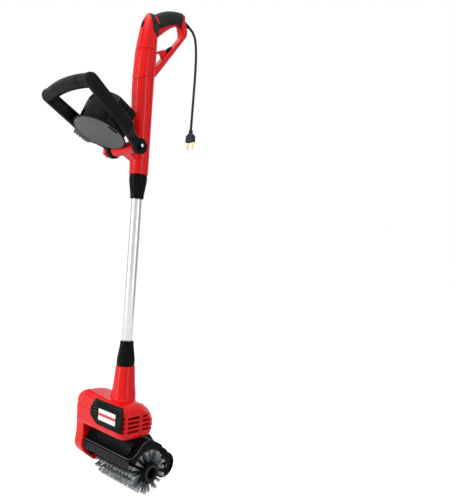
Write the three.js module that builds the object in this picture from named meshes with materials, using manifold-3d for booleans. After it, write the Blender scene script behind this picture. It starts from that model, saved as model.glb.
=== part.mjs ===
// Electric patio cleaner: a long-handled rotary brush with a telescopic tube.
// Millimetres. X runs across the machine along the brush axle, Y points back to the user,
// Z runs up along the tube. Heights are first counted from the brush axle, depths from the
// tube axis, and at the end everything moves so that the rear grip centre is the origin.
import * as THREE from 'three';
import { mergeVertices } from 'three/addons/utils/BufferGeometryUtils.js';
import Module from 'manifold-3d';

const wasm = await Module();
wasm.setup();

// Clearances
const seatGap = 0.3;
const runGap = 0.5;
const cutOverrun = 4;

// Telescopic tube
const tubeRadius = 12.5;
const tubeWall = 1.4;
const tubeShownLength = 346;
const tubeUpperDepth = 72;
const tubeLowerDepth = 42;
const tubeTravel = 200;

// Twist-lock collars, spigots and clamp rings
const collarLength = 58;
const collarSmallRadius = 16.6;
const collarLargeRadius = 22;
const collarFluteDepth = 1;
const collarFluteCount = 10;
const spigotLength = 27;
const spigotWall = 3.6;
const colletLength = 12;
const colletSlotWidth = 2;

// Column and D-handle of the upper unit
const columnHeight = 404;
const columnRadius = 25.6;
const hubDepth = 41.5;
const hubRise = 56;
const hubRadius = 15;
const hubHalfLength = 43.5;
const hubWebWidth = 30;
const loopReach = 121;
const loopFootDrop = 164;
const loopHeight = 204;
const loopThickness = 24;
const loopBevel = 3;
const loopCornerRadius = 8;
const barCoreShare = 0.62;
const gripHalfWidth = 17;
const gripBack = 62;
const gripStand = 10;

// Trigger, lock button, switch, hook and insert of the upper unit
const triggerWidth = 15;
const triggerTravelAngle = 4;
const triggerPinRadius = 2.5;
const triggerPinWidth = 21;
const lockWidth = 6;
const lockHeight = 18;
const lockStand = 3;
const lockTravel = 2.5;
const lockDepth = 12;
const switchLength = 27;
const switchHeight = 13;
const switchWidth = 12;
const plungerRadius = 2.2;
const plungerLength = 5;
const hookThickness = 9;
const hookPadThickness = 3;
const insetLength = 19;
const insetWidth = 8;
const insetStand = 1.2;
const insetDepth = 6;

// Mains lead
const bootLength = 26;
const bootLargeRadius = 5.4;
const bootSmallRadius = 4.3;
const cordRadius = 3.3;
const plugLength = 34;
const plugWidth = 32;
const plugDepth = 15;
const plugPinLength = 19;
const plugPinRadius = 2.2;
const plugPinSpacing = 19;

// Front handle
const armTilt = 31.3;
const armLength = 185;
const armEyeRadius = 19;
const armEyeInner = 44;
const armThickness = 14;
const armGripInner = 80;
const armHalfHeight = 16.5;
const barRadius = 15;
const barBow = 9;
const boltRadius = 4;
const boltHeadRadius = 8;
const boltHeadLength = 5;
const knobRadius = 15;
const knobLength = 20;
const knobLobeCount = 6;
const knobLobeDepth = 1.8;
const podAlong = 78.3;
const podLean = 9.3;
const podBelow = 21.2;
const podRadius = 54;
const podHeight = 86;
const coverRadius = 61.5;
const coverThickness = 3;
const coverNotchLength = 20;
const coverNotchWidth = 5;
const wingLength = 50;
const wingAbove = 44;
const wingShift = -1;
const wingRibCount = 9;
const wingRibDepth = 1.6;
const latchReach = 79;
const latchRibDepth = 0.8;
const latchRibCount = 5;

// Motor housing and neck
const neckTopHeight = 232;
const neckTopRadius = 22;
const neckFootRadius = 27.5;
const housingFront = 52;
const housingTop = 162;
const housingBottom = 78;
const housingFarEnd = 119;
const housingNearEnd = 73;
const housingTaperStart = 44;
const motorHeight = 114;
const motorBoreRadius = 32;
const noseBoreRadius = 20;
const wallThickness = 3.5;
const ventHeight = 5;
const ventPitch = 11.3;
const ventCount = 4;
const ventLowest = 97;
const ventRibWidth = 8;
const ventDepth = 9;
const ventReach = 42;

// Gear leg
const legInner = 86;
const legBottom = 18;
const legFrontHeight = 27;
const legBevel = 3;
const legCoverThickness = 4;
const legWall = 4;

// Front panel and label
const panelLeft = 38;
const panelRight = 70;
const panelTip = 56;
const panelTop = 153;
const panelBottom = 99;
const panelThickness = 4;
const panelStand = 1;
const panelSlotCount = 5;
const panelSlotWidth = 2.6;
const labelLeft = 20;
const labelRight = 46;
const labelTop = 134;
const labelBottom = 108;
const labelThickness = 1;

// Motor
const statorRadius = 31;
const statorBoreRadius = 20.5;
const statorLength = 50;
const statorFarEnd = 12;
const armatureRadius = 19.5;
const armatureSlotCount = 8;
const armatureSlotDepth = 3;
const armatureSlotWidth = 3;
const shaftRadius = 4;
const commutatorRadius = 11;
const commutatorLength = 14;
const fanRadius = 29;
const fanHubRadius = 10;
const fanBladeCount = 9;
const fanBladeThickness = 1.8;
const fanLength = 12;
const bearingRadius = 11;
const bearingLength = 7;

// Gear train and brush drive
const fineModule = 1.2;
const coarseModule = 1.5;
const pinionTeeth = 10;
const firstWheelTeeth = 50;
const firstPinionTeeth = 14;
const idlerTeeth = 42;
const outputTeeth = 16;
const gearWidth = 6;
const coarseGearWidth = 9;
const gearPinRadius = 3;
const driveShaftRadius = 6;
const outputBearingRadius = 13;
const outputBearingLength = 8;

// Brush roller
const brushAxleBack = 21;
const brushFarEnd = 66;
const brushNearEnd = 92;
const brushRadius = 49;
const coreRadius = 23.8;
const coreRecessRadius = 12.5;
const coreRecessDepth = 16;
const coreEndStand = 2;
const tuftRows = 16;
const tuftsPerRow = 10;
const tuftRootRadius = 2.4;
const tuftTipRadius = 5.2;
const endRingRadius = 19.5;
const endRingLength = 4;
const brushBoltHeadRadius = 9;
const brushBoltHeadLength = 6;

// Guard, skirt and wheels
const guardFarEnd = 85.5;
const guardNearEnd = 95;
const guardInnerRadius = 57;
const guardWall = 4;
const guardEndThickness = 4;
const guardEndFall = 17;
const guardLipFront = 45;
const guardLipHeight = 46;
const skirtHeight = 19;
const skirtThickness = 3;
const skirtRibPitch = 9;
const skirtRibDepth = 1;
const wheelAxleBack = 105;
const wheelAxleDrop = 17;
const wheelRadius = 31.5;
const wheelWidth = 22;
const wheelTrack = 58;
const wheelCentreX = 8;
const wheelHubRadius = 9;
const axleRadius = 4;
const wheelTreadCount = 12;
const wheelTreadDepth = 1.2;
const bracketWidth = 22;

// Heights and places that follow from the sizes above
const lowerCollarTop = neckTopHeight + collarLength;
const upperCollarBottom = lowerCollarTop + tubeShownLength;
const columnBottom = upperCollarBottom + collarLength;
const columnTop = columnBottom + columnHeight;
const hubHeight = columnBottom + hubRise;
const tubeTop = columnBottom + tubeUpperDepth;
const tubeBottom = neckTopHeight - tubeLowerDepth;
const spigotRadius = tubeRadius + runGap + spigotWall;
const gripHeight = columnTop + gripStand;
const loopFoot = columnTop - loopFootDrop;

// Facets round a full circle
const roundFacets = 16;
const fineFacets = 20;
const innerFacets = 12;
const barFacets = 14;
const hoodFacets = 60;

const red = new THREE.MeshStandardMaterial({ color: 0xd9232a, roughness: 0.35, metalness: 0 });
const black = new THREE.MeshStandardMaterial({ color: 0x1c1d1f, roughness: 0.55, metalness: 0 });
const softGrip = new THREE.MeshStandardMaterial({ color: 0x30383a, roughness: 0.8, metalness: 0 });
const grey = new THREE.MeshStandardMaterial({ color: 0x646666, roughness: 0.6, metalness: 0 });
const aluminium = new THREE.MeshStandardMaterial({ color: 0xc9cbce, roughness: 0.35, metalness: 1 });
const steel = new THREE.MeshStandardMaterial({ color: 0xa9acb0, roughness: 0.35, metalness: 1 });
const copper = new THREE.MeshStandardMaterial({ color: 0xb4683a, roughness: 0.4, metalness: 1 });
const gearPlastic = new THREE.MeshStandardMaterial({ color: 0xe6e0cf, roughness: 0.5, metalness: 0 });
const bristle = new THREE.MeshStandardMaterial({ color: 0x8c9296, roughness: 0.8, metalness: 0 });
const white = new THREE.MeshStandardMaterial({ color: 0xf2f2f0, roughness: 0.4, metalness: 0 });
const rubber = new THREE.MeshStandardMaterial({ color: 0x151515, roughness: 0.85, metalness: 0 });
const brass = new THREE.MeshStandardMaterial({ color: 0xc9a24b, roughness: 0.3, metalness: 1 });

function signedVolume(positions, index) {
  let six = 0;
  const a = new THREE.Vector3();
  const b = new THREE.Vector3();
  const c = new THREE.Vector3();
  for (let i = 0; i < index.length; i += 3) {
    a.fromArray(positions, 3 * index[i]);
    b.fromArray(positions, 3 * index[i + 1]);
    c.fromArray(positions, 3 * index[i + 2]);
    six += a.dot(b.clone().cross(c));
  }
  return six / 6;
}

// A geometry with shared corners and its faces turned outward
function closed(geometry) {
  const bare = geometry.clone();
  bare.deleteAttribute('normal');
  bare.deleteAttribute('uv');
  const joined = mergeVertices(bare);
  const positions = joined.attributes.position.array;
  const index = Array.from(joined.index.array);
  const kept = [];
  for (let i = 0; i < index.length; i += 3) {
    const [p, q, r] = [index[i], index[i + 1], index[i + 2]];
    if (p !== q && q !== r && r !== p) kept.push(p, q, r);
  }
  if (signedVolume(positions, kept) < 0) kept.reverse();
  joined.setIndex(kept);
  return joined;
}

function solidOf(geometry) {
  const shape = closed(geometry);
  const mesh = new wasm.Mesh({
    numProp: 3,
    vertProperties: new Float32Array(shape.attributes.position.array),
    triVerts: new Uint32Array(shape.index.array),
  });
  return new wasm.Manifold(mesh);
}

function geometryOf(solid) {
  const mesh = solid.getMesh();
  const geometry = new THREE.BufferGeometry();
  geometry.setAttribute('position', new THREE.BufferAttribute(new Float32Array(mesh.vertProperties), 3));
  geometry.setIndex(Array.from(mesh.triVerts));
  return geometry;
}

function join(...geometries) {
  return geometryOf(wasm.Manifold.union(geometries.map(solidOf)));
}

function cut(base, ...tools) {
  return geometryOf(solidOf(base).subtract(wasm.Manifold.union(tools.map(solidOf))));
}

function shared(first, second) {
  return geometryOf(solidOf(first).intersect(solidOf(second)));
}

function block(x0, x1, y0, y1, z0, z1) {
  const box = new THREE.BoxGeometry(x1 - x0, y1 - y0, z1 - z0);
  return box.translate((x0 + x1) / 2, (y0 + y1) / 2, (z0 + z1) / 2);
}

function rodZ(radius, z0, z1, x, y, facets = roundFacets) {
  const rod = new THREE.CylinderGeometry(radius, radius, z1 - z0, facets);
  return rod.rotateX(Math.PI / 2).translate(x, y, (z0 + z1) / 2);
}

function rodX(radius, x0, x1, y, z, facets = roundFacets) {
  const rod = new THREE.CylinderGeometry(radius, radius, x1 - x0, facets);
  return rod.rotateZ(Math.PI / 2).translate((x0 + x1) / 2, y, z);
}

// A ring or cup turned round the Z axis from a closed profile of radius and height
function turned(profile, facets = roundFacets) {
  const points = profile.map(([r, z]) => new THREE.Vector2(r, z));
  points.push(points[0].clone());
  return closed(new THREE.LatheGeometry(points, facets).rotateX(Math.PI / 2));
}

// The same, round an axle along X at the given depth and height
function turnedX(profile, y, z, facets = roundFacets) {
  return turned(profile, facets).rotateY(Math.PI / 2).translate(0, y, z);
}

function rounded(corners, radius) {
  const shape = new THREE.Shape();
  const count = corners.length;
  corners.forEach(([x, y], i) => {
    const here = new THREE.Vector2(x, y);
    const before = new THREE.Vector2(...corners[(i + count - 1) % count]).sub(here);
    const after = new THREE.Vector2(...corners[(i + 1) % count]).sub(here);
    const reach = Math.min(radius, before.length() * 0.45, after.length() * 0.45);
    const start = before.setLength(reach).add(here);
    const end = after.setLength(reach).add(here);
    if (i === 0) shape.moveTo(start.x, start.y);
    else shape.lineTo(start.x, start.y);
    shape.quadraticCurveTo(x, y, end.x, end.y);
  });
  shape.closePath();
  return shape;
}

function cornered(corners) {
  return new THREE.Shape(corners.map(([x, y]) => new THREE.Vector2(x, y)));
}

function extruded(shape, depth, bevel, curveSegments) {
  return new THREE.ExtrudeGeometry(shape, {
    depth: depth - 2 * bevel,
    bevelEnabled: bevel > 0,
    bevelSize: bevel,
    bevelThickness: bevel,
    bevelOffset: -bevel,
    bevelSegments: 1,
    curveSegments,
    steps: 1,
  }).translate(0, 0, bevel);
}

// An outline of depth and height, drawn out along X
function plateX(shape, x0, x1, bevel = 0, curveSegments = 4) {
  const plate = extruded(shape, x1 - x0, bevel, curveSegments);
  const turn = new THREE.Matrix4().makeBasis(
    new THREE.Vector3(0, 1, 0), new THREE.Vector3(0, 0, 1), new THREE.Vector3(1, 0, 0));
  return plate.applyMatrix4(turn).translate(x0, 0, 0);
}

// An outline of width and height, drawn out along Y
function plateY(shape, y0, y1, bevel = 0, curveSegments = 4) {
  const plate = extruded(shape, y1 - y0, bevel, curveSegments);
  const turn = new THREE.Matrix4().makeBasis(
    new THREE.Vector3(1, 0, 0), new THREE.Vector3(0, 0, 1), new THREE.Vector3(0, -1, 0));
  return plate.applyMatrix4(turn).translate(0, y1, 0);
}

// A skin over rings of equal point count, closed by a fan at each end
function loft(rings) {
  const count = rings[0].length;
  const points = rings.flat();
  const faces = [];
  for (let k = 0; k + 1 < rings.length; k += 1) {
    for (let i = 0; i < count; i += 1) {
      const a = k * count + i;
      const b = k * count + (i + 1) % count;
      faces.push(a, b, b + count, a, b + count, a + count);
    }
  }
  const addCap = (ring, first, flip) => {
    const middle = ring.reduce((sum, p) => sum.add(p), new THREE.Vector3()).divideScalar(count);
    points.push(middle);
    for (let i = 0; i < count; i += 1) {
      const a = first + i;
      const b = first + (i + 1) % count;
      if (flip) faces.push(points.length - 1, b, a);
      else faces.push(points.length - 1, a, b);
    }
  };
  addCap(rings[0], 0, true);
  addCap(rings[rings.length - 1], (rings.length - 1) * count, false);
  const geometry = new THREE.BufferGeometry().setFromPoints(points);
  geometry.setIndex(faces);
  return closed(geometry);
}

// Offsets round a superellipse, as pairs of shares of the two half sizes
function ovalShares(power, count) {
  const pairs = [];
  for (let i = 0; i < count; i += 1) {
    const angle = (i + 0.5) * 2 * Math.PI / count;
    const c = Math.cos(angle);
    const s = Math.sin(angle);
    pairs.push([Math.sign(c) * Math.abs(c) ** (2 / power), Math.sign(s) * Math.abs(s) ** (2 / power)]);
  }
  return pairs;
}

// Rings across Z from stations of height, half width, half depth and depth of the centre
function loftZ(stations, power, count = roundFacets) {
  const pairs = ovalShares(power, count);
  return loft(stations.map(([z, halfWidth, halfDepth, back]) => pairs.map(([a, b]) => (
    new THREE.Vector3(a * halfWidth, back + b * halfDepth, z)))));
}

function addPart(group, name, geometry, material) {
  const shape = closed(geometry);
  shape.computeVertexNormals();
  const mesh = new THREE.Mesh(shape, material);
  mesh.name = name;
  group.add(mesh);
  return mesh;
}

// Telescopic tube
function mainTube() {
  return turned([
    [tubeRadius - tubeWall, tubeBottom],
    [tubeRadius, tubeBottom],
    [tubeRadius, tubeTop],
    [tubeRadius - tubeWall, tubeTop],
  ], fineFacets);
}

// Places inside a collar as shares of its length, counted from the thin end
const collarLipShare = 0.26;
const collarConeShare = 0.5;
const collarOuterShares = [[0, 0], [0.15, 0.04], [0.45, 0.5], [0.8, 1], [1, 0.9]];

function collarRing(share, widening) {
  const count = 3 * collarFluteCount;
  const radius = collarSmallRadius + (collarLargeRadius - collarSmallRadius) * widening;
  const ring = [];
  for (let i = 0; i < count; i += 1) {
    const angle = i * 2 * Math.PI / count;
    const depth = i % 3 === 0 ? collarFluteDepth * Math.min(1, 4 * share) : 0;
    const r = radius - depth;
    ring.push(new THREE.Vector3(r * Math.cos(angle), r * Math.sin(angle), share * collarLength));
  }
  return ring;
}

// A collar stands on zero with its thin end down, and is turned over where the thin end is up
function collar() {
  const outside = loft(collarOuterShares.map(([share, widening]) => collarRing(share, widening)));
  const lip = tubeRadius + runGap;
  const throat = spigotRadius + runGap;
  const coneStart = collarLipShare * collarLength;
  const coneEnd = collarConeShare * collarLength;
  const inside = turned([
    [0, -cutOverrun],
    [lip, -cutOverrun],
    [lip, coneStart],
    [(lip + throat) / 2, coneStart],
    [throat, coneEnd],
    [throat, collarLength + cutOverrun],
    [0, collarLength + cutOverrun],
  ], fineFacets);
  return cut(outside, inside);
}

// The split clamp ring lies in the cone of its collar
function collet() {
  const start = collarLipShare * collarLength + seatGap;
  const end = start + colletLength;
  const lip = tubeRadius + runGap;
  const throat = spigotRadius + runGap;
  const coneEnd = collarConeShare * collarLength;
  const slope = (throat - (lip + throat) / 2) / (coneEnd - start + seatGap);
  const ring = turned([
    [tubeRadius + seatGap, start],
    [(lip + throat) / 2 - seatGap, start],
    [(lip + throat) / 2 - seatGap + slope * colletLength, end],
    [tubeRadius + seatGap, end],
  ]);
  const slotTop = start + colletLength * 0.7;
  const slots = [0, 1].map((turn) => block(
    -throat, throat, -colletSlotWidth / 2, colletSlotWidth / 2, start - cutOverrun, slotTop,
  ).rotateZ(turn * Math.PI / 2));
  return cut(ring, ...slots);
}

function turnedOver(geometry, height) {
  return geometry.rotateX(Math.PI).translate(0, 0, height);
}

function spigot(bottom, top) {
  return turned([
    [tubeRadius + runGap, bottom],
    [spigotRadius, bottom],
    [spigotRadius, top],
    [tubeRadius + runGap, top],
  ], fineFacets);
}

// Column stations: share of its height, of its radius across, of its radius in depth, and back shift
const columnShares = [
  [0, 0.84, 0.84, 0], [0.33, 0.92, 0.93, -0.1], [0.55, 0.98, 1, -0.19], [0.74, 0.97, 0.99, -0.11], [0.84,
    0.87, 0.91, 0.01],
  [0.92, 0.74, 0.82, 0.13], [0.965, 0.58, 0.66, 0.2], [0.99, 0.36, 0.42, 0.25], [1, 0.14, 0.16, 0.27],
];

function column(grow) {
  return loftZ(columnShares.map(([rise, across, deep, back]) => [
    columnBottom + rise * columnHeight + (rise === 0 ? -grow : 0) + (rise === 1 ? grow : 0),
    across * columnRadius + grow, deep * columnRadius + grow, back * columnRadius,
  ]), 2.3);
}

// Outlines of the D-handle loop: shares of its reach behind the tube axis and of its height
const loopOuterShares = [[0.04, 0.03], [0.11, -0.035], [0.99, 0.735], [0.985, 0.82], [0.912, 0.89],
  [0.895, 0.995], [0.76, 0.97],
  [0.05, 0.78]];
const strutFootShares = [0.21, 0.176];
const strutTopShares = [0.876, 0.716];
const loopInnerShares = [strutFootShares, strutTopShares, [0.81, 0.843], [0.8, 1.2], [-0.1, 1.2],
  [-0.1, 0.18]];

function loopPoint([back, rise]) {
  return [back * loopReach, loopFoot + rise * loopHeight];
}

function loopOutline(shares, radius) {
  return rounded(shares.map(loopPoint), radius);
}

// The grip bar: shares of loop reach and height for the top and the bottom of each section
const barShares = [
  [0, 0.74, 0.02, 0.47], [0.125, 0.811, 0.09, 0.525], [0.19, 0.845, 0.125, 0.58], [0.3, 0.89, 0.265, 0.66],
  [0.45, 0.938, 0.48, 0.748], [0.64, 0.978, 0.645, 0.8], [0.8, 1, 0.79, 0.826], [0.87, 0.995, 0.86, 0.84],
];

function gripBar(widthShare, heightShare) {
  const pairs = ovalShares(2.6, barFacets);
  const rings = barShares.map(([topBack, topRise, lowBack, lowRise]) => {
    const [topY, topZ] = loopPoint([topBack, topRise]);
    const [lowY, lowZ] = loopPoint([lowBack, lowRise]);
    return pairs.map(([a, b]) => new THREE.Vector3(
      a * gripHalfWidth * widthShare,
      (topY + lowY) / 2 + b * heightShare * (topY - lowY) / 2,
      (topZ + lowZ) / 2 + b * heightShare * (topZ - lowZ) / 2,
    ));
  });
  return loft(rings);
}

// Paddle outline in depth and height, its hinge pin at the rear end
const triggerPinShares = [0.727, 0.838];
const triggerShares = [[0.207, 0.54], [0.383, 0.652], [0.555, 0.747], [0.711, 0.809], [0.77, 0.828],
  [0.77, 0.857],
  [0.711, 0.873], [0.579, 0.843], [0.413, 0.789], [0.281, 0.725], [0.215, 0.667], [0.198, 0.6]];

function trigger() {
  const half = triggerWidth / 2;
  const paddle = plateX(rounded(triggerShares.map(loopPoint), barRadius / 5), -half, half,
    triggerWidth / 12, 2);
  const [y, z] = loopPoint(triggerPinShares);
  return join(paddle, rodX(triggerPinRadius, -triggerPinWidth / 2, triggerPinWidth / 2, y, z, innerFacets));
}

// The room that the paddle needs inside the grip: its outline grown, and turned to the end of its travel
function triggerRoom() {
  const half = triggerWidth / 2 + runGap;
  const [py, pz] = loopPoint(triggerPinShares);
  const grown = 1.5 * runGap;
  const middle = triggerShares.reduce((sum, s) => [sum[0] + s[0] / triggerShares.length,
    sum[1] + s[1] / triggerShares.length], [0, 0]);
  const [my, mz] = loopPoint(middle);
  const swept = [0, 0.6, 1.15].map((share) => {
    const angle = -share * triggerTravelAngle * Math.PI / 180;
    const corners = triggerShares.map((pair) => {
      const [y, z] = loopPoint(pair);
      const out = new THREE.Vector2(y - my, z - mz);
      out.setLength(out.length() + 2 * grown);
      const dy = my + out.x - py;
      const dz = mz + out.y - pz;
      return [py + dy * Math.cos(angle) - dz * Math.sin(angle),
        pz + dy * Math.sin(angle) + dz * Math.cos(angle)];
    });
    return plateX(cornered(corners), -half, half);
  });
  const pinHole = rodX(triggerPinRadius + seatGap, -triggerPinWidth / 2 - seatGap,
    triggerPinWidth / 2 + seatGap, py, pz, innerFacets);
  return join(...swept, pinHole);
}

// Lock button on the near side of the grip, close to the column
const lockShares = [0.098, 0.711];
const lockLean = 46;

function lockSlab(grow, inner, outer) {
  const [y, z] = loopPoint(lockShares);
  const half = [lockWidth / 2 + grow, lockHeight / 2 + grow];
  const corners = [[-half[0], -half[1]], [half[0], -half[1]], [half[0], half[1]], [-half[0], half[1]]];
  const slab = plateX(rounded(corners, lockWidth / 2.2), inner, outer, 0, 3);
  return slab.rotateX(lockLean * Math.PI / 180).translate(0, y, z);
}

function lockButton() {
  return lockSlab(0, gripHalfWidth - lockDepth, gripHalfWidth + lockStand);
}

function lockRoom() {
  return lockSlab(seatGap, gripHalfWidth - lockDepth - lockTravel - runGap,
    gripHalfWidth + lockStand + cutOverrun);
}

// The switch lies in the bar core above the paddle
const switchLean = 0.3;
const switchShares = [0.53, 0.885];

function switchBlock(grow) {
  const half = [switchWidth / 2 + grow, switchLength / 2 + grow, switchHeight / 4 + grow];
  const [y, z] = loopPoint(switchShares);
  return block(-half[0], half[0], -half[1], half[1], -half[2],
    half[2]).rotateX(switchLean).translate(0, y, z);
}

const columnInsetRiseShare = 0.905;

const insetLean = Math.PI / 14;

function insetPlug(grow, depthGrow) {
  const half = insetWidth / 2 + grow;
  const height = columnBottom + columnInsetRiseShare * columnHeight;
  const front = -columnRadius * 0.72;
  const shape = rounded([
    [-half, -insetLength / 2 - grow], [half, -insetLength / 2 - grow],
    [half, insetLength / 2 + grow], [-half, insetLength / 2 + grow],
  ], insetWidth / 2);
  return plateY(shape, front - insetStand - depthGrow, front + insetDepth + grow, 0, 4)
    .rotateX(-insetLean).translate(0, 0, height);
}

function bootPlace() {
  return loopPoint([0.895, 0.925]);
}

// The boot leaves the rear post to the back and down; its axis turns round X by this angle
const bootAngle = 106 * Math.PI / 180;

function onBootAxis(geometry) {
  const [y, z] = bootPlace();
  return geometry.rotateX(-bootAngle).translate(0, y, z);
}

function bootDirection() {
  return new THREE.Vector3(0, 0, 1).applyAxisAngle(new THREE.Vector3(1, 0, 0), -bootAngle);
}

function cordBoot() {
  return onBootAxis(turned([
    [0, -bootLength / 4],
    [bootLargeRadius, -bootLength / 4],
    [bootLargeRadius, bootLength / 6],
    [bootSmallRadius, bootLength],
    [0, bootLength],
  ], innerFacets));
}

function bootSocket() {
  return onBootAxis(rodZ(bootLargeRadius + seatGap, -bootLength / 4 - seatGap, bootLength, 0, 0,
    innerFacets));
}

// Everything red of the upper unit, before it is split into two shells
function upperBody() {
  const halfLoop = loopThickness / 2;
  const loopPlate = plateX(loopOutline(loopOuterShares, loopCornerRadius), -halfLoop, halfLoop, loopBevel, 3);
  const opening = plateX(loopOutline(loopInnerShares, loopCornerRadius), -loopThickness, loopThickness, 0, 3);
  const loopBody = cut(loopPlate, opening);
  const core = gripBar(barCoreShare, barCoreShare);
  const barrel = rodX(hubRadius, -hubHalfLength, hubHalfLength, -hubDepth, hubHeight);
  const webHalf = hubWebWidth / 2;
  const web = plateX(rounded([
    [0, hubHeight + 2.6 * hubRadius], [-hubDepth, hubHeight + hubRadius * 0.9],
    [-hubDepth, hubHeight - hubRadius * 0.9], [0, hubHeight - 2.2 * hubRadius],
  ], hubRadius / 3), -webHalf, webHalf, 0, 3);
  const foot = spigot(columnBottom - spigotLength, columnBottom + spigotLength);
  const bore = rodZ(tubeRadius + runGap, columnBottom - spigotLength - cutOverrun,
    tubeTop + tubeTravel + cutOverrun, 0, 0, fineFacets);
  const boltBore = rodX(boltRadius + seatGap, -hubHalfLength - cutOverrun, hubHalfLength + cutOverrun,
    -hubDepth, hubHeight);
  const whole = join(column(0), loopBody, core, barrel, web, foot);
  return cut(whole, bore, boltBore, triggerRoom(), lockRoom(), switchBlock(seatGap), plungerRoom(),
    insetPlug(seatGap, cutOverrun), bootSocket());
}

function plunger() {
  const [y, z] = loopPoint(switchShares);
  return rodZ(plungerRadius, -switchHeight / 4 - seatGap - plungerLength, -switchHeight / 4 - seatGap, 0,
    0, innerFacets)
    .rotateX(switchLean).translate(0, y, z);
}

function plungerRoom() {
  const [y, z] = loopPoint(switchShares);
  return rodZ(plungerRadius + seatGap, -switchHeight / 4 - seatGap - plungerLength - runGap, 0, 0,
    0, innerFacets)
    .rotateX(switchLean).translate(0, y, z);
}

function halfSpace(side) {
  const far = columnHeight;
  const inner = seatGap / 2;
  const low = neckTopHeight;
  const high = columnTop + columnHeight;
  return side > 0 ? block(inner, far, -far, far, low, high) : block(-far, -inner, -far, far, low, high);
}

function gripOvermould() {
  const sleeve = gripBar(1, 1);
  const core = gripBar(barCoreShare + seatGap / gripHalfWidth, barCoreShare + seatGap / gripHalfWidth);
  const halfLoop = loopThickness / 2 + cutOverrun;
  const post = block(-halfLoop, halfLoop, 0.8 * loopReach - seatGap, 2 * loopReach, loopFoot,
    loopFoot + 2 * loopHeight);
  return cut(sleeve, core, column(seatGap), post, triggerRoom(), lockRoom(), switchBlock(seatGap),
    plungerRoom());
}

// Hook and pad stand on the strut; shares of the strut's length, along it and away from it
const hookShares = [[0.225, 0], [0.25, 0.03], [0.282, 0.092], [0.2, 0.12], [0.2, 0.16], [0.26, 0.155],
  [0.434, 0.095],
  [0.44, 0.045], [0.455, 0]];
const padShares = [[0.458, 0], [0.443, 0.045], [0.47, 0.047], [0.6, 0.034], [0.645, 0]];

function strutPoint([along, off]) {
  const foot = new THREE.Vector2(...loopPoint(strutFootShares));
  const run = new THREE.Vector2(...loopPoint(strutTopShares)).sub(foot);
  const away = new THREE.Vector2(-run.y, run.x).normalize();
  const point = foot.addScaledVector(run, along).addScaledVector(away, off * run.length() + seatGap);
  return [point.x, point.y];
}

function cordHook() {
  const half = hookThickness / 2;
  const hook = plateX(rounded(hookShares.map(strutPoint), hookThickness / 6), -half, half, 0, 2);
  return cut(hook, column(seatGap));
}

function hookPad() {
  const half = hookThickness / 2;
  return plateX(rounded(padShares.map(strutPoint), hookPadThickness / 3), -half, half, 0, 2);
}

// The lead hangs from the boot; its points are chosen by hand, in depth and height from the boot's end
const cordPoints = [
  [0, 0], [6.6, -2.4], [12.6, -6], [17.7, -10.8], [21.7, -16.5], [24.7, -22.9], [27, -30.5], [29.3, -42.3],
  [31.2, -58.2], [32.5, -76.2], [33.1, -96], [33.2, -118], [33, -141], [32.6, -165], [32.1,
    -190], [31.6, -216],
  [31.1, -242], [30.7, -268],
];

function bootEnd() {
  const [y, z] = bootPlace();
  return new THREE.Vector3(0, y, z).add(bootDirection().multiplyScalar(bootLength + seatGap));
}

function cordCurve() {
  const start = bootEnd();
  return new THREE.CatmullRomCurve3(cordPoints.map(([back, up]) => new THREE.Vector3(0, start.y + back,
    start.z + up)));
}

function powerCord() {
  const section = new THREE.Shape();
  section.absarc(0, 0, cordRadius, 0, 2 * Math.PI);
  return new THREE.ExtrudeGeometry(section, {
    steps: 24, curveSegments: 3, bevelEnabled: false, extrudePath: cordCurve(),
  });
}

function cordEnd() {
  const last = cordPoints[cordPoints.length - 1];
  const start = bootEnd();
  return [start.y + last[0], start.z + last[1]];
}

function plugBody() {
  const [y, z] = cordEnd();
  const top = z - seatGap;
  return loftZ([
    [top, cordRadius * 1.35, cordRadius * 1.35, y],
    [top - plugLength * 0.3, cordRadius * 1.8, cordRadius * 1.5, y],
    [top - plugLength * 0.5, plugWidth / 2, plugDepth * 0.42, y],
    [top - plugLength, plugWidth / 2, plugDepth / 2, y],
  ], 3, innerFacets);
}

function plugPin(side) {
  const [y, z] = cordEnd();
  const face = z - seatGap - plugLength - seatGap;
  return rodZ(plugPinRadius, face - plugPinLength, face, side * plugPinSpacing / 2, y, innerFacets);
}

// The front handle is built flat, with U along the arm and W across it, and tilted on its pivot
function onArm(geometry) {
  const angle = armTilt * Math.PI / 180;
  const along = new THREE.Vector3(0, -Math.cos(angle), Math.sin(angle));
  const across = new THREE.Vector3(0, Math.sin(angle), Math.cos(angle));
  const frame = new THREE.Matrix4().makeBasis(new THREE.Vector3(1, 0, 0), along, across);
  return geometry.applyMatrix4(frame).translate(0, -hubDepth, hubHeight);
}

// Arm stations: share of arm length, share of the spread, share of the half height, share of the thickness
const armShares = [
  [0.05, 0, 0.72, 1], [0.13, 0.05, 0.7, 1], [0.21, 0.26, 0.82, 1], [0.29, 0.48, 1, 1], [0.4, 0.57, 1, 1],
  [0.85, 0.9, 0.95, 1], [1, 1, 0.93, 0.98], [1.045, 0.98, 0.8, 0.92], [1.075, 0.93, 0.52, 0.8], [1.088,
    0.88, 0.2, 0.6],
];

function frontArm(side) {
  const pairs = ovalShares(4, innerFacets);
  const spread = armGripInner - armEyeInner;
  const strap = loft(armShares.map(([along, out, tall, thick]) => pairs.map(([a, b]) => new THREE.Vector3(
    armEyeInner + armThickness / 2 + out * spread + a * thick * armThickness / 2,
    along * armLength,
    b * tall * armHalfHeight,
  ))));
  const eye = rodX(armEyeRadius, armEyeInner, armEyeInner + armThickness, 0, 0, fineFacets);
  const hole = rodX(boltRadius + seatGap, 0, armGripInner + armThickness, 0, 0);
  const arm = cut(join(strap, eye), hole, frontBar(seatGap));
  return onArm(arm.scale(side, 1, 1));
}

const barSteps = 10;

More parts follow.
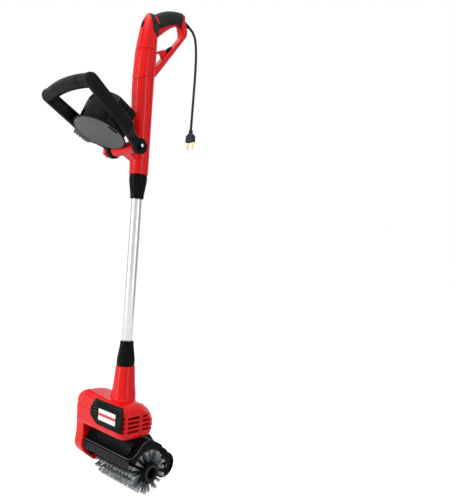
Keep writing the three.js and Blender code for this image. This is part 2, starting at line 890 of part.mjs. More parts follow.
function frontBar(grow) {
  const pairs = ovalShares(2.2, innerFacets);
  const half = armGripInner + armThickness * 0.2 + grow;
  const rings = [];
  for (let i = 0; i <= barSteps; i += 1) {
    const x = -half + i * 2 * half / barSteps;
    const bow = barBow * (1 - (x / half) ** 2);
    rings.push(pairs.map(([a, b]) => new THREE.Vector3(x, armLength + bow + a * (barRadius + grow),
      b * (barRadius + grow))));
  }
  return loft(rings);
}

function frontGrip() {
  return onArm(frontBar(0));
}

// The pod between the arms leans a little from the arms' plane, round its own middle
function onPod(geometry) {
  return onArm(geometry.rotateX(-podLean * Math.PI / 180).translate(0, podAlong, 0));
}

// Drum profile: shares of its radius and of its height above the cover
const podShares = [[0, 0], [0.97, 0], [1, 0.02], [1, 0.25], [0.96, 0.52], [0.86, 0.77], [0.7, 0.93],
  [0.5, 1], [0, 1]];

function podHousing() {
  const drum = turned(podShares.map(([r, w]) => [r * podRadius, -podBelow + seatGap + w * podHeight]),
    fineFacets);
  return onPod(drum);
}

function podCover() {
  const disc = turned([
    [0, -podBelow - coverThickness], [coverRadius - coverThickness / 3, -podBelow - coverThickness],
    [coverRadius, -podBelow - coverThickness * 2 / 3], [coverRadius, -podBelow], [0, -podBelow],
  ], fineFacets);
  const out = coverRadius * 0.86;
  const notch = block(out - coverNotchWidth / 2, out + coverNotchWidth / 2, -coverNotchLength / 2,
    coverNotchLength / 2,
    -podBelow - coverThickness - cutOverrun, -podBelow + cutOverrun);
  return onPod(cut(disc, notch));
}

// The room taken by an arm beside the wings: everything outside its inner face
function armRoom() {
  const spread = armGripInner - armEyeInner;
  const line = armShares.slice(2,
    7).map(([along, out]) => [along * armLength, armEyeInner + out * spread - seatGap]);
  const corners = [...line, [line[line.length - 1][0], 3 * armGripInner], [line[0][0], 3 * armGripInner]];
  const outline = new THREE.Shape(corners.map(([u, x]) => new THREE.Vector2(x, u)));
  return onArm(extruded(outline, 4 * podHeight, 0, 1).translate(0, 0, -2 * podHeight));
}

// A wing stands between the drum and an arm, with ribs along its upper edge
function sideWing(side) {
  const low = -podBelow + seatGap;
  const u0 = wingShift - wingLength / 2;
  const u1 = wingShift + wingLength / 2;
  const body = block(0, armGripInner, u0, u1, low, wingAbove);
  const drum = turned([[0, low - 2 * podHeight], [podRadius + seatGap, low - 2 * podHeight],
    [podRadius + seatGap, low + 2 * podHeight], [0, low + 2 * podHeight]], 2 * fineFacets);
  const pitch = wingLength / wingRibCount;
  const grooves = [];
  for (let i = 0; i < wingRibCount; i += 1) {
    const u = u0 + (i + 0.5) * pitch;
    grooves.push(block(0, armGripInner, u - pitch / 5, u + pitch / 5, wingAbove - wingRibDepth,
      wingAbove + cutOverrun));
  }
  return cut(onPod(cut(body, drum, ...grooves)), armRoom()).scale(side, 1, 1);
}

// Latch plate beside the cover on the far side, ribbed on its underside; corner shares of its reach
const latchShares = [[0.6, 0.45], [0.98, 0.28], [1, -0.22], [0.78, -0.3], [0.6, -0.3]];

function coverLatch() {
  const shape = rounded(latchShares.map(([x, u]) => [-x * latchReach, u * latchReach]), coverThickness);
  const plate = extruded(shape, coverThickness, 0, 3).translate(0, 0, -podBelow - coverThickness);
  const disc = rodZ(coverRadius + seatGap, -podBelow - 2 * coverThickness, -podBelow + coverThickness, 0, 0,
    2 * fineFacets);
  const pitch = (latchReach - coverRadius) / latchRibCount;
  const grooves = [];
  for (let i = 0; i < latchRibCount; i += 1) {
    const x = coverRadius + (i + 0.5) * pitch;
    grooves.push(block(-x - pitch / 5, -x + pitch / 5, -latchReach, latchReach,
      -podBelow - coverThickness - cutOverrun, -podBelow - coverThickness + latchRibDepth));
  }
  return onPod(cut(plate, disc, ...grooves));
}

function pivotBolt() {
  const farEnd = armEyeInner + armThickness + knobLength * 0.7;
  const nearFace = armEyeInner + armThickness + seatGap;
  const shank = rodX(boltRadius, -farEnd, nearFace + boltHeadLength / 2, -hubDepth, hubHeight);
  const head = rodX(boltHeadRadius, nearFace, nearFace + boltHeadLength, -hubDepth, hubHeight, 6);
  return join(shank, head);
}

function clampKnob() {
  const count = 4 * knobLobeCount;
  const start = armEyeInner + armThickness + seatGap;
  const ring = (share, along) => {
    const points = [];
    for (let i = 0; i < count; i += 1) {
      const angle = i * 2 * Math.PI / count;
      const r = share * (knobRadius - knobLobeDepth * (1 + Math.cos(knobLobeCount * angle)) / 2);
      points.push(new THREE.Vector3(-start - along * knobLength, r * Math.cos(angle), r * Math.sin(angle)));
    }
    return points;
  };
  const body = loft([ring(0.8, 0), ring(0.86, 0.3), ring(1, 0.42), ring(1, 0.9), ring(0.9, 1)]);
  const hole = rodX(boltRadius + seatGap, -start - knobLength * 0.7 - seatGap, 0, 0, 0);
  return cut(body, hole).translate(0, -hubDepth, hubHeight);
}

// Cross-section of the motor housing in depth and height: shares of its front reach and of its height
const housingShares = [
  [-1, 0.16], [-1, 0.5], [-1, 0.84], [-0.93, 0.95], [-0.78, 1], [-0.4, 1], [0, 0.985], [0.4,
    0.92], [0.75, 0.76],
  [0.95, 0.54], [0.97, 0.3], [0.85, 0.1], [0.6, 0], [0, 0], [-0.6, 0], [-0.9, 0.03],
];

// Stations along X: share of the far or near end, share of the depth, share of the height, share of the lift
const housingStations = [
  [-1, 0.9, 0.68, 0], [-0.98, 0.97, 0.79, 0], [-0.92, 1, 0.9, 0], [-0.83, 1, 0.965, 0], [-0.7, 1, 1, 0],
  [0, 1, 0.925, 0], [0.45, 1, 0.912, 0], [0.7, 0.97, 0.88, 0], [0.86, 0.88, 0.81, 0],
  [0.95, 0.77, 0.74, 0.01], [0.985, 0.68, 0.69, 0.03], [1, 0.58, 0.63, 0.06],
];

function housingBlock() {
  const height = housingTop - housingBottom;
  return loft(housingStations.map(([along, deep, tall, lift]) => {
    const x = along * (along < 0 ? housingFarEnd : housingNearEnd);
    const back = along > 0.5 ? -0.12 * housingFront * (along - 0.5) : 0;
    return housingShares.map(([y, z]) => new THREE.Vector3(
      x, back + y * deep * housingFront, housingBottom + (lift + z * tall) * height));
  }));
}

function neck() {
  const foot = housingBottom + (housingTop - housingBottom) * 0.6;
  const rise = neckTopHeight - housingTop;
  return loftZ([
    [foot, neckFootRadius * 1.12, neckFootRadius * 1.1, 0],
    [housingTop, neckFootRadius * 1.05, neckFootRadius * 1.02, 0],
    [housingTop + rise * 0.25, neckFootRadius * 0.96, neckFootRadius * 0.96, 0],
    [housingTop + rise * 0.65, neckTopRadius * 1.09, neckTopRadius * 1.09, 0],
    [neckTopHeight, neckTopRadius, neckTopRadius, 0],
  ], 2.2);
}

// Gear leg outline in depth and height round the brush axle
const legRearShares = [[0.98, 0.35], [0.9, 0.12]];

function legOutline(inset) {
  const front = -housingFront + inset;
  const low = -legBottom + inset;
  const rear = brushAxleBack + 1.35 * legBottom - inset;
  return rounded([
    [front, housingTop * 0.8 - inset],
    [front + legWall * 0.9, housingBottom * 0.75],
    [front, legFrontHeight + inset * 0.4],
    [front * 0.84, legFrontHeight * 0.4 + inset * 0.2],
    [-legBottom * 0.5 + inset * 0.5, low],
    [brushAxleBack + legBottom * 0.5, low],
    [rear, 0],
    [rear, housingBottom * 0.6],
    [housingFront * legRearShares[1][0] - inset, housingTop * 0.8 - inset],
  ], legBottom / 2);
}

function gearPlaces() {
  const first = fineModule * (pinionTeeth + firstWheelTeeth) / 2;
  const second = coarseModule * (firstPinionTeeth + idlerTeeth) / 2;
  const third = coarseModule * (idlerTeeth + outputTeeth) / 2;
  const motor = new THREE.Vector2(0, motorHeight);
  const output = new THREE.Vector2(brushAxleBack, 0);
  const down = output.clone().sub(motor);
  const span = down.length();
  const lean = new THREE.Vector2(-down.y, down.x).normalize();
  // The idler and the first wheel stand off the straight line so that the three distances close
  const reach = first + second;
  const along = (span * span + reach * reach - third * third) / (2 * span);
  const side = Math.sqrt(Math.max(0, reach * reach - along * along));
  const unit = down.clone().normalize();
  const idler = motor.clone().addScaledVector(unit, along).addScaledVector(lean, -side);
  const toIdler = idler.clone().sub(motor).normalize();
  const firstWheel = motor.clone().addScaledVector(toIdler, first);
  return { motor, firstWheel, idler, output };
}

function gearProfile(module, teeth) {
  const shape = new THREE.Shape();
  const pitchRadius = module * teeth / 2;
  const outer = pitchRadius + module * 0.85;
  const inner = pitchRadius - module * 1.2;
  const steps = [[-0.31, inner], [-0.11, outer], [0.11, outer], [0.31, inner]];
  for (let i = 0; i < teeth; i += 1) {
    steps.forEach(([share, radius], k) => {
      const angle = (i + share) * 2 * Math.PI / teeth;
      const y = radius * Math.cos(angle);
      const z = radius * Math.sin(angle);
      if (i === 0 && k === 0) shape.moveTo(y, z);
      else shape.lineTo(y, z);
    });
  }
  shape.closePath();
  return shape;
}

function gearBody(module, teeth, x0, x1, place, turn) {
  return plateX(gearProfile(module, teeth), x0, x1, 0, 1).rotateX(turn).translate(0, place.x, place.y);
}

// The turn that lets a gear mesh with the one before it, a tooth of one in a gap of the other
function meshTurn(from, to, fromTeeth, toTeeth, fromTurn) {
  const angle = Math.atan2(to.y - from.y, to.x - from.x);
  const carried = (angle - fromTurn) * fromTeeth / toTeeth;
  return angle + Math.PI + Math.PI / toTeeth + carried;
}

// Places along X inside the leg, counted outward from the leg's inner wall
const legCavityInner = -(legInner + legWall);
const legCavityOuter = -(housingFarEnd - legCoverThickness);
const coarseGearInner = legCavityInner - seatGap * 2;
const coarseGearOuter = coarseGearInner - coarseGearWidth;
const fineGearInner = coarseGearOuter - seatGap;
const fineGearOuter = fineGearInner - gearWidth;

function outputBearingSpan() {
  return [-legInner - outputBearingLength / 2 + seatGap, -legInner + outputBearingLength / 2];
}

const gearboxWall = -(legInner - legWall);

// All hollows of the head: motor room, gear room, bearings, vents and panel seat
function headRooms() {
  const places = gearPlaces();
  const motorRoomFar = gearboxWall + bearingLength + wallThickness;
  const motorRoom = rodX(motorBoreRadius, motorRoomFar, housingTaperStart, 0, motorHeight, fineFacets);
  const noseRoom = rodX(noseBoreRadius, housingTaperStart - cutOverrun, housingNearEnd - 3 * wallThickness,
    0, motorHeight);
  const shaftRoom = rodX(shaftRadius + runGap, legCavityInner - cutOverrun,
    housingNearEnd - 2 * wallThickness, 0, motorHeight);
  const farBearing = rodX(bearingRadius + seatGap, motorRoomFar - bearingLength - seatGap,
    motorRoomFar + cutOverrun, 0, motorHeight);
  const gearRoom = plateX(legOutline(legWall), legCavityOuter - cutOverrun - legCoverThickness,
    legCavityInner, 0, 3);
  const outputRoom = rodX(outputBearingRadius + seatGap, -legInner - legWall - cutOverrun,
    -legInner + cutOverrun,
    places.output.x, places.output.y);
  return [motorRoom, noseRoom, shaftRoom, farBearing, gearRoom, outputRoom];
}

function ventSlots() {
  const slots = [];
  for (let i = 0; i < ventCount; i += 1) {
    const z0 = ventLowest + i * ventPitch - ventHeight / 2;
    const z1 = z0 + ventHeight;
    const x0 = housingNearEnd - ventDepth;
    slots.push(block(x0, housingNearEnd + cutOverrun, -housingFront, -ventRibWidth / 2, z0, z1));
    slots.push(block(x0, housingNearEnd + cutOverrun, ventRibWidth / 2, housingFront, z0, z1));
    slots.push(block(housingNearEnd - 1.6 * ventDepth, housingNearEnd + cutOverrun, -housingFront,
      -ventReach * 0.62, z0, z1));
  }
  return slots;
}

function panelOutline(grow) {
  const tipHeight = (panelTop + panelBottom) / 2 - (panelTop - panelBottom) * 0.18;
  return rounded([
    [-panelLeft, panelTop + grow], [panelRight + grow, panelTop + grow], [panelRight + grow,
      panelBottom - grow],
    [-panelLeft * 0.75, panelBottom - grow], [-panelTip - grow, tipHeight - panelThickness],
    [-panelTip - grow, tipHeight + 3 * panelThickness],
  ], panelThickness);
}

// The front face falls back towards the near end, so the panel's seat is cut with the panel's own back
function panelSeat() {
  return plateY(panelOutline(seatGap), -housingFront - cutOverrun,
    -housingFront + panelThickness - panelStand, 0, 2);
}

const panelSlotLean = 0.4;

function panelBezel() {
  const back = -housingFront + panelThickness - panelStand - seatGap;
  const plate = plateY(panelOutline(0), -housingFront - panelStand, back, panelStand * 0.8, 2);
  const slots = [];
  const pitch = (panelTop - panelBottom) / (panelSlotCount + 2);
  for (let i = 0; i < panelSlotCount; i += 1) {
    const z = panelBottom + (i + 1.4) * pitch;
    const inset = panelTip * 0.84;
    slots.push(block(0, panelTip * 0.26, -housingFront - cutOverrun, -housingFront + panelStand, 0,
      panelSlotWidth)
      .rotateY(-panelSlotLean).translate(-inset, 0, z));
  }
  const seat = block(-labelLeft - seatGap, labelRight + seatGap, -housingFront - cutOverrun,
    -housingFront - panelStand + labelThickness * 0.7, labelBottom - seatGap, labelTop + seatGap);
  return cut(plate, ...slots, seat);
}

function labelPlate() {
  const front = -housingFront - panelStand - labelThickness * 0.3;
  return block(-labelLeft, labelRight, front, front + labelThickness - seatGap, labelBottom, labelTop);
}

function headBody() {
  const leg = plateX(legOutline(0), -housingFarEnd, -legInner, legBevel, 4);
  const foot = spigot(neckTopHeight - spigotLength, neckTopHeight + spigotLength);
  const whole = join(housingBlock(), neck(), leg, foot);
  const tubeSocket = rodZ(tubeRadius + seatGap, tubeBottom - seatGap,
    neckTopHeight + spigotLength + cutOverrun, 0, 0, fineFacets);
  return cut(whole, tubeSocket, panelSeat(), ...headRooms(), ...ventSlots());
}

function headHalf(side) {
  const far = housingFarEnd * 3;
  const inner = seatGap / 2;
  const high = lowerCollarTop + collarLength;
  return side > 0 ? block(-far, far, inner, far, -far, high) : block(-far, far, -far, -inner, -far, high);
}

function gearCover() {
  const outer = -housingFarEnd;
  return plateX(legOutline(legWall + seatGap), outer, outer + legCoverThickness, legCoverThickness / 4, 3);
}

// Motor
function motorStator() {
  const x0 = -statorFarEnd;
  const x1 = x0 + statorLength;
  return turnedX([[statorBoreRadius, x0], [statorRadius, x0], [statorRadius, x1], [statorBoreRadius, x1]],
    0, motorHeight, fineFacets);
}

function armature() {
  const shape = new THREE.Shape();
  const step = 2 * Math.PI / armatureSlotCount;
  const slotHalf = armatureSlotWidth / 2 / armatureRadius;
  for (let i = 0; i < armatureSlotCount; i += 1) {
    const angle = i * step;
    [[slotHalf, armatureRadius - armatureSlotDepth], [slotHalf, armatureRadius], [step / 2, armatureRadius],
      [step - slotHalf, armatureRadius], [step - slotHalf,
        armatureRadius - armatureSlotDepth]].forEach(([turn, r], k) => {
      const y = r * Math.cos(angle + turn);
      const z = r * Math.sin(angle + turn);
      if (i === 0 && k === 0) shape.moveTo(y, z);
      else shape.lineTo(y, z);
    });
  }
  shape.closePath();
  const stack = plateX(shape, -statorFarEnd + seatGap, -statorFarEnd + statorLength - seatGap, 0,
    1).translate(0, 0, motorHeight);
  const shaft = rodX(shaftRadius, fineGearOuter, housingNearEnd - 2.5 * wallThickness, 0, motorHeight,
    innerFacets);
  return join(stack, shaft);
}

function commutator() {
  const x0 = -statorFarEnd + statorLength + seatGap;
  return turnedX([
    [shaftRadius + seatGap, x0], [commutatorRadius, x0],
    [commutatorRadius, x0 + commutatorLength], [shaftRadius + seatGap, x0 + commutatorLength],
  ], 0, motorHeight, innerFacets);
}

function motorFan() {
  const x1 = -statorFarEnd - runGap;
  const x0 = x1 - fanLength;
  const hub = turnedX([
    [shaftRadius + seatGap, x0], [fanHubRadius, x0], [fanHubRadius, x1 - fanLength / 3],
    [fanRadius, x1 - fanBladeThickness], [fanRadius, x1], [shaftRadius + seatGap, x1],
  ], 0, 0);
  const blades = [];
  for (let i = 0; i < fanBladeCount; i += 1) {
    blades.push(block(x0, x1 - fanBladeThickness / 2, fanHubRadius * 0.8, fanRadius * 0.97,
      -fanBladeThickness / 2, fanBladeThickness / 2)
      .rotateX(i * 2 * Math.PI / fanBladeCount));
  }
  return join(hub, ...blades).translate(0, 0, motorHeight);
}

function motorBearing(x0) {
  return turnedX([
    [shaftRadius + seatGap, x0], [bearingRadius, x0],
    [bearingRadius, x0 + bearingLength], [shaftRadius + seatGap, x0 + bearingLength],
  ], 0, motorHeight, innerFacets);
}

function motorPinion(places) {
  const gear = gearBody(fineModule, pinionTeeth, fineGearOuter, fineGearInner, places.motor, 0);
  return cut(gear, rodX(shaftRadius + seatGap, fineGearOuter - cutOverrun, fineGearInner + cutOverrun,
    places.motor.x, places.motor.y, innerFacets));
}

function firstGear(places, turn) {
  const large = gearBody(fineModule, firstWheelTeeth, fineGearOuter, fineGearInner, places.firstWheel, turn);
  const small = gearBody(coarseModule, firstPinionTeeth, fineGearInner - seatGap, coarseGearInner,
    places.firstWheel, turn);
  const hole = rodX(gearPinRadius + seatGap, fineGearOuter - cutOverrun, coarseGearInner + cutOverrun,
    places.firstWheel.x, places.firstWheel.y, innerFacets);
  return cut(join(large, small), hole);
}

function idlerGear(places, turn) {
  const gear = gearBody(coarseModule, idlerTeeth, coarseGearOuter, coarseGearInner, places.idler, turn);
  return cut(gear, rodX(gearPinRadius + seatGap, coarseGearOuter - cutOverrun, coarseGearInner + cutOverrun,
    places.idler.x, places.idler.y, innerFacets));
}

function outputGear(places, turn) {
  const gear = gearBody(coarseModule, outputTeeth, coarseGearOuter, coarseGearInner, places.output, turn);
  return cut(gear, rodX(driveShaftRadius + seatGap, coarseGearOuter - cutOverrun,
    coarseGearInner + cutOverrun, places.output.x, places.output.y, innerFacets));
}

function gearPin(place) {
  return rodX(gearPinRadius, legCavityOuter + 2 * seatGap, legCavityInner - seatGap, place.x, place.y,
    innerFacets);
}

function outputBearing(places) {
  const [x0, x1] = outputBearingSpan();
  return turnedX([
    [driveShaftRadius + seatGap, x0], [outputBearingRadius, x0], [outputBearingRadius,
      x1], [driveShaftRadius + seatGap, x1],
  ], places.output.x, places.output.y, innerFacets);
}

function driveShaft(places) {
  const near = brushNearEnd - coreRecessDepth - seatGap;
  return rodX(driveShaftRadius, legCavityOuter + 2 * seatGap, near, places.output.x, places.output.y,
    innerFacets);
}

function brushBolt(places) {
  const face = brushNearEnd - coreRecessDepth;
  return rodX(brushBoltHeadRadius, face, face + brushBoltHeadLength, places.output.x, places.output.y, 6);
}

// Brush roller: a tube with tufts that widen outward, in rows along the axle
function tuft() {
  const root = coreRadius - tuftRootRadius;
  const length = brushRadius - root;
  return new THREE.CylinderGeometry(tuftTipRadius, tuftRootRadius, length, 3).translate(0,
    root + length / 2, 0);
}

function brushRoller() {
  const tufts = [];
  const length = brushNearEnd + brushFarEnd - 2 * tuftTipRadius;
  const pitch = length / (tuftsPerRow - 0.5);
  for (let row = 0; row < tuftRows; row += 1) {
    const shift = row % 2 === 0 ? 0 : pitch / 2;
    for (let k = 0; k < tuftsPerRow; k += 1) {
      const x = -brushFarEnd + tuftTipRadius + shift + k * pitch;
      tufts.push(tuft().rotateX(row * 2 * Math.PI / tuftRows).translate(x, 0, 0));
    }
  }
  const core = rodX(coreRadius, -brushFarEnd - coreEndStand, brushNearEnd + coreEndStand, 0, 0, tuftRows)
    .rotateX(Math.PI / tuftRows);
  const bore = rodX(driveShaftRadius + seatGap, -brushFarEnd - cutOverrun, brushNearEnd + cutOverrun, 0, 0,
    innerFacets);
  const recess = rodX(coreRecessRadius, brushNearEnd - coreRecessDepth - seatGap,
    brushNearEnd + cutOverrun, 0, 0);
  return cut(join(core, ...tufts), bore, recess).translate(0, brushAxleBack, 0);
}

function brushEndRing() {
  const x0 = brushNearEnd + coreEndStand + seatGap;
  return turnedX([
    [coreRecessRadius, x0], [endRingRadius, x0], [endRingRadius, x0 + endRingLength * 0.6],
    [endRingRadius - endRingLength * 0.4, x0 + endRingLength], [coreRecessRadius, x0 + endRingLength],
  ], brushAxleBack, 0);
}

// Guard hood: a thick moulding over the brush with a scooped front and a wall at its far end
function arcPoints(radius, fromDegrees, toDegrees, steps) {
  const points = [];
  for (let i = 0; i <= steps; i += 1) {
    const angle = (fromDegrees + (toDegrees - fromDegrees) * i / steps) * Math.PI / 180;
    points.push([brushAxleBack + radius * Math.cos(angle), radius * Math.sin(angle)]);
  }
  return points;
}

const guardFrontAngle = 146;
const guardRearAngle = 22;
const guardTopGap = 1;

function guardProfile() {
  const inner = arcPoints(guardInnerRadius, guardRearAngle, guardFrontAngle, 12);
  const top = housingBottom - seatGap - guardTopGap;
  const outerRadius = guardInnerRadius + guardWall;
  const rear = arcPoints(outerRadius, 62, guardRearAngle, 5);
  const shape = new THREE.Shape();
  shape.moveTo(...inner[0]);
  inner.slice(1).forEach((point) => shape.lineTo(...point));
  shape.lineTo(-guardLipFront + guardWall / 2, guardLipHeight - guardWall);
  shape.lineTo(-guardLipFront, guardLipHeight - guardWall / 2);
  shape.lineTo(-guardLipFront, guardLipHeight);
  shape.quadraticCurveTo(-guardLipFront * 0.62, guardLipHeight * 1.15, -guardLipFront * 0.6,
    guardLipHeight * 1.55);
  shape.quadraticCurveTo(-guardLipFront * 0.6, top, -guardLipFront * 0.8, top);
  shape.lineTo(brushAxleBack * 0.7, top);
  shape.quadraticCurveTo(brushAxleBack * 1.1, top * 0.98, rear[0][0], rear[0][1] + guardWall);
  rear.forEach((point) => shape.lineTo(...point));
  shape.closePath();
  return shape;
}

// Beside the housing's near end the hood falls from its top to the lip in one long S
function guardEndCut() {
  const top = housingBottom - seatGap - guardTopGap;
  const shape = new THREE.Shape();
  shape.moveTo(-2 * guardLipFront, 2 * top);
  shape.lineTo(-2 * guardLipFront, guardLipHeight);
  shape.lineTo(-guardLipFront, guardLipHeight);
  shape.quadraticCurveTo(-guardLipFront * 0.62, guardLipHeight, -guardLipFront * 0.35,
    (guardLipHeight + top) / 2);
  shape.quadraticCurveTo(-guardLipFront * 0.1, top, brushAxleBack * 0.7, top);
  shape.lineTo(brushAxleBack * 0.7, 2 * top);
  shape.closePath();
  return plateX(shape, guardNearEnd - guardEndFall, guardNearEnd + cutOverrun, 0, 6);
}

function guardHood() {
  const hood = cut(plateX(guardProfile(), -guardFarEnd, guardNearEnd, 0, 4), guardEndCut());
  const front = -guardLipFront + guardWall * 0.1 + skirtThickness + seatGap;
  const rear = brushAxleBack + guardInnerRadius * 0.9;
  const wall = plateX(rounded([
    [front, guardLipHeight], [front, guardLipHeight * 0.5], [-guardLipFront * 0.55, 0],
    [rear * 0.9, 0], [rear, guardLipHeight * 0.3], [rear, guardLipHeight * 0.55],
    [brushAxleBack, guardInnerRadius + guardWall / 2],
  ], guardLipHeight / 3), -guardFarEnd, -guardFarEnd + guardEndThickness, 0, 3);
  const hole = rodX(outputBearingRadius + runGap, -guardFarEnd - cutOverrun,
    -guardFarEnd + guardEndThickness + cutOverrun, brushAxleBack, 0);
  return cut(join(hood, wall), hole);
}

// Ribbed strip that hangs from the lip; the ribs run down its front
function guardSkirt() {
  const shape = new THREE.Shape();
  const x0 = -guardFarEnd;
  const length = guardNearEnd - x0 - guardWall;
  const ribs = Math.round(length / skirtRibPitch);
  const pitch = length / ribs;
  const front = -guardLipFront + guardWall * 0.1;
  shape.moveTo(x0, front + skirtThickness);
  for (let i = 0; i < ribs; i += 1) {
    const x = x0 + i * pitch;
    shape.lineTo(x, front);
    shape.lineTo(x + pitch * 0.55, front);
    shape.lineTo(x + pitch * 0.6, front + skirtRibDepth);
    shape.lineTo(x + pitch * 0.95, front + skirtRibDepth);
  }
  shape.lineTo(x0 + length, front + skirtThickness);
  shape.closePath();
  const top = guardLipHeight - guardWall * 1.3;
  return extruded(shape, skirtHeight, 0, 1).translate(0, 0, top - skirtHeight);
}

// Wheels behind the guard, on an axle held by a bracket
function wheel(centre) {
  const count = wheelTreadCount * 2;
  const tread = (share, x) => {
    const points = [];
    for (let i = 0; i < count; i += 1) {
      const angle = i * 2 * Math.PI / count;
      const r = share * (wheelRadius - (i % 2) * wheelTreadDepth);
      points.push(new THREE.Vector3(centre + x, r * Math.cos(angle), r * Math.sin(angle)));
    }
    return points;
  };
  const half = wheelWidth / 2;
  const body = loft([tread(0.9, -half), tread(1, -half * 0.8), tread(1, half * 0.8), tread(0.9, half)]);
  const dish = (side) => turned([
    [wheelHubRadius, half * 0.7], [wheelRadius * 0.72, half * 0.7], [wheelRadius * 0.76,
      half + cutOverrun], [wheelHubRadius, half + cutOverrun],
  ]).rotateY(side * Math.PI / 2).translate(centre, 0, 0);
  const hole = rodX(axleRadius + runGap, centre - wheelWidth, centre + wheelWidth, 0, 0, innerFacets);
  return cut(body, dish(1), dish(-1), hole).translate(0, wheelAxleBack, -wheelAxleDrop);
}

function wheelAxle() {
  const half = wheelTrack / 2 + wheelWidth / 2 + axleRadius;
  return rodX(axleRadius, wheelCentreX - half, wheelCentreX + half, wheelAxleBack, -wheelAxleDrop,
    innerFacets);
}

function wheelBracket() {
  const half = bracketWidth / 2;
  const topBack = brushAxleBack + (guardInnerRadius + guardWall) * 0.62;
  const arm = plateX(rounded([
    [topBack - guardWall, housingBottom * 0.72], [topBack + 3 * guardWall, housingBottom * 0.8],
    [wheelAxleBack - 2.5 * axleRadius, housingBottom * 0.4],
    [wheelAxleBack + 2.2 * axleRadius, 0], [wheelAxleBack + 2.2 * axleRadius,
      -wheelAxleDrop - 2.2 * axleRadius],
    [wheelAxleBack - 2.2 * axleRadius, -wheelAxleDrop - 2.2 * axleRadius],
    [wheelAxleBack - 4 * axleRadius, housingBottom * 0.15],
    [brushAxleBack + guardInnerRadius, housingBottom * 0.2],
  ], 2 * axleRadius), wheelCentreX - half, wheelCentreX + half, axleRadius / 4, 3);
  const hole = rodX(axleRadius + seatGap, wheelCentreX - bracketWidth, wheelCentreX + bracketWidth,
    wheelAxleBack, -wheelAxleDrop, innerFacets);
  const hood = rodX(guardInnerRadius + guardWall + seatGap, -housingFarEnd, housingFarEnd, brushAxleBack,
    0, hoodFacets);
  return cut(arm, hole, hood);
}

function build() {
  const group = new THREE.Group();
  const places = gearPlaces();
  const firstTurn = meshTurn(places.motor, places.firstWheel, pinionTeeth, firstWheelTeeth, 0);
  const idlerTurn = meshTurn(places.firstWheel, places.idler, firstPinionTeeth, idlerTeeth, firstTurn);
  const outputTurn = meshTurn(places.idler, places.output, idlerTeeth, outputTeeth, idlerTurn);

  const upper = upperBody();
  addPart(group, 'upper_shell_left', shared(upper, halfSpace(-1)), red);
  addPart(group, 'upper_shell_right', shared(upper, halfSpace(1)), red);
  addPart(group, 'grip_overmould', gripOvermould(), softGrip);
  addPart(group, 'trigger', trigger(), red);
  addPart(group, 'lock_button', lockButton(), red);
  addPart(group, 'switch_body', switchBlock(0), black);
  addPart(group, 'switch_plunger', plunger(), white);
  addPart(group, 'front_inset', insetPlug(0, 0), black);
  addPart(group, 'cord_hook', cordHook(), red);
  addPart(group, 'hook_pad', hookPad(), rubber);
  addPart(group, 'cord_boot', cordBoot(), rubber);
  addPart(group, 'power_cord', powerCord(), rubber);
  addPart(group, 'plug_body', plugBody(), rubber);
  addPart(group, 'plug_pin_left', plugPin(-1), brass);
  addPart(group, 'plug_pin_right', plugPin(1), brass);

  addPart(group, 'upper_collar', collar().translate(0, 0, upperCollarBottom - seatGap), black);
  addPart(group, 'upper_collet', collet().translate(0, 0, upperCollarBottom - seatGap), gearPlastic);
  addPart(group, 'main_tube', mainTube(), aluminium);
  addPart(group, 'lower_collar', turnedOver(collar(), lowerCollarTop + seatGap), black);
  addPart(group, 'lower_collet', turnedOver(collet(), lowerCollarTop + seatGap), gearPlastic);

  addPart(group, 'front_arm_near', frontArm(1), black);
  addPart(group, 'front_arm_far', frontArm(-1), black);
  addPart(group, 'front_grip', frontGrip(), black);
  addPart(group, 'pod_housing', podHousing(), black);
  addPart(group, 'pod_cover', podCover(), grey);
  addPart(group, 'cover_latch', coverLatch(), grey);
  addPart(group, 'side_wing_near', sideWing(1), black);
  addPart(group, 'side_wing_far', sideWing(-1), black);
  addPart(group, 'pivot_bolt', pivotBolt(), steel);
  addPart(group, 'clamp_knob', clampKnob(), red);

  const head = headBody();
  addPart(group, 'housing_front', shared(head, headHalf(-1)), red);
  addPart(group, 'housing_rear', shared(head, headHalf(1)), red);
  addPart(group, 'gear_cover', gearCover(), red);
  addPart(group, 'panel_bezel', panelBezel(), black);
  addPart(group, 'label_plate', labelPlate(), white);

  addPart(group, 'motor_stator', motorStator(), steel);
  addPart(group, 'motor_armature', armature(), steel);
  addPart(group, 'commutator', commutator(), copper);
  addPart(group, 'motor_fan', motorFan(), black);
  addPart(group, 'far_bearing', motorBearing(gearboxWall + wallThickness), steel);
  addPart(group, 'near_bearing',
    motorBearing(housingNearEnd - 3 * wallThickness - bearingLength - seatGap), steel);
  addPart(group, 'motor_pinion', motorPinion(places), steel);
  addPart(group, 'first_gear', firstGear(places, firstTurn), gearPlastic);
  addPart(group, 'idler_gear', idlerGear(places, idlerTurn), gearPlastic);
  addPart(group, 'output_gear', outputGear(places, outputTurn), gearPlastic);
  addPart(group, 'first_gear_pin', gearPin(places.firstWheel), steel);
  addPart(group, 'idler_pin', gearPin(places.idler), steel);
  addPart(group, 'output_bearing', outputBearing(places), steel);
  addPart(group, 'drive_shaft', driveShaft(places), steel);
  addPart(group, 'brush_bolt', brushBolt(places), steel);

  addPart(group, 'brush_roller', brushRoller(), bristle);
  addPart(group, 'brush_end_ring', brushEndRing(), black);
  addPart(group, 'guard_hood', guardHood(), black);
  addPart(group, 'guard_skirt', guardSkirt(), rubber);
  addPart(group, 'wheel_bracket', wheelBracket(), black);
  addPart(group, 'wheel_axle', wheelAxle(), steel);
  addPart(group, 'wheel_far', wheel(wheelCentreX - wheelTrack / 2), rubber);
  addPart(group, 'wheel_near', wheel(wheelCentreX + wheelTrack / 2), rubber);

  group.children.forEach((mesh) => mesh.geometry.translate(0, -gripBack, -gripHeight));
  return group;
}

export default build();
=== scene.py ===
import math
import random
import bpy
import bmesh
from mathutils import Matrix, Vector


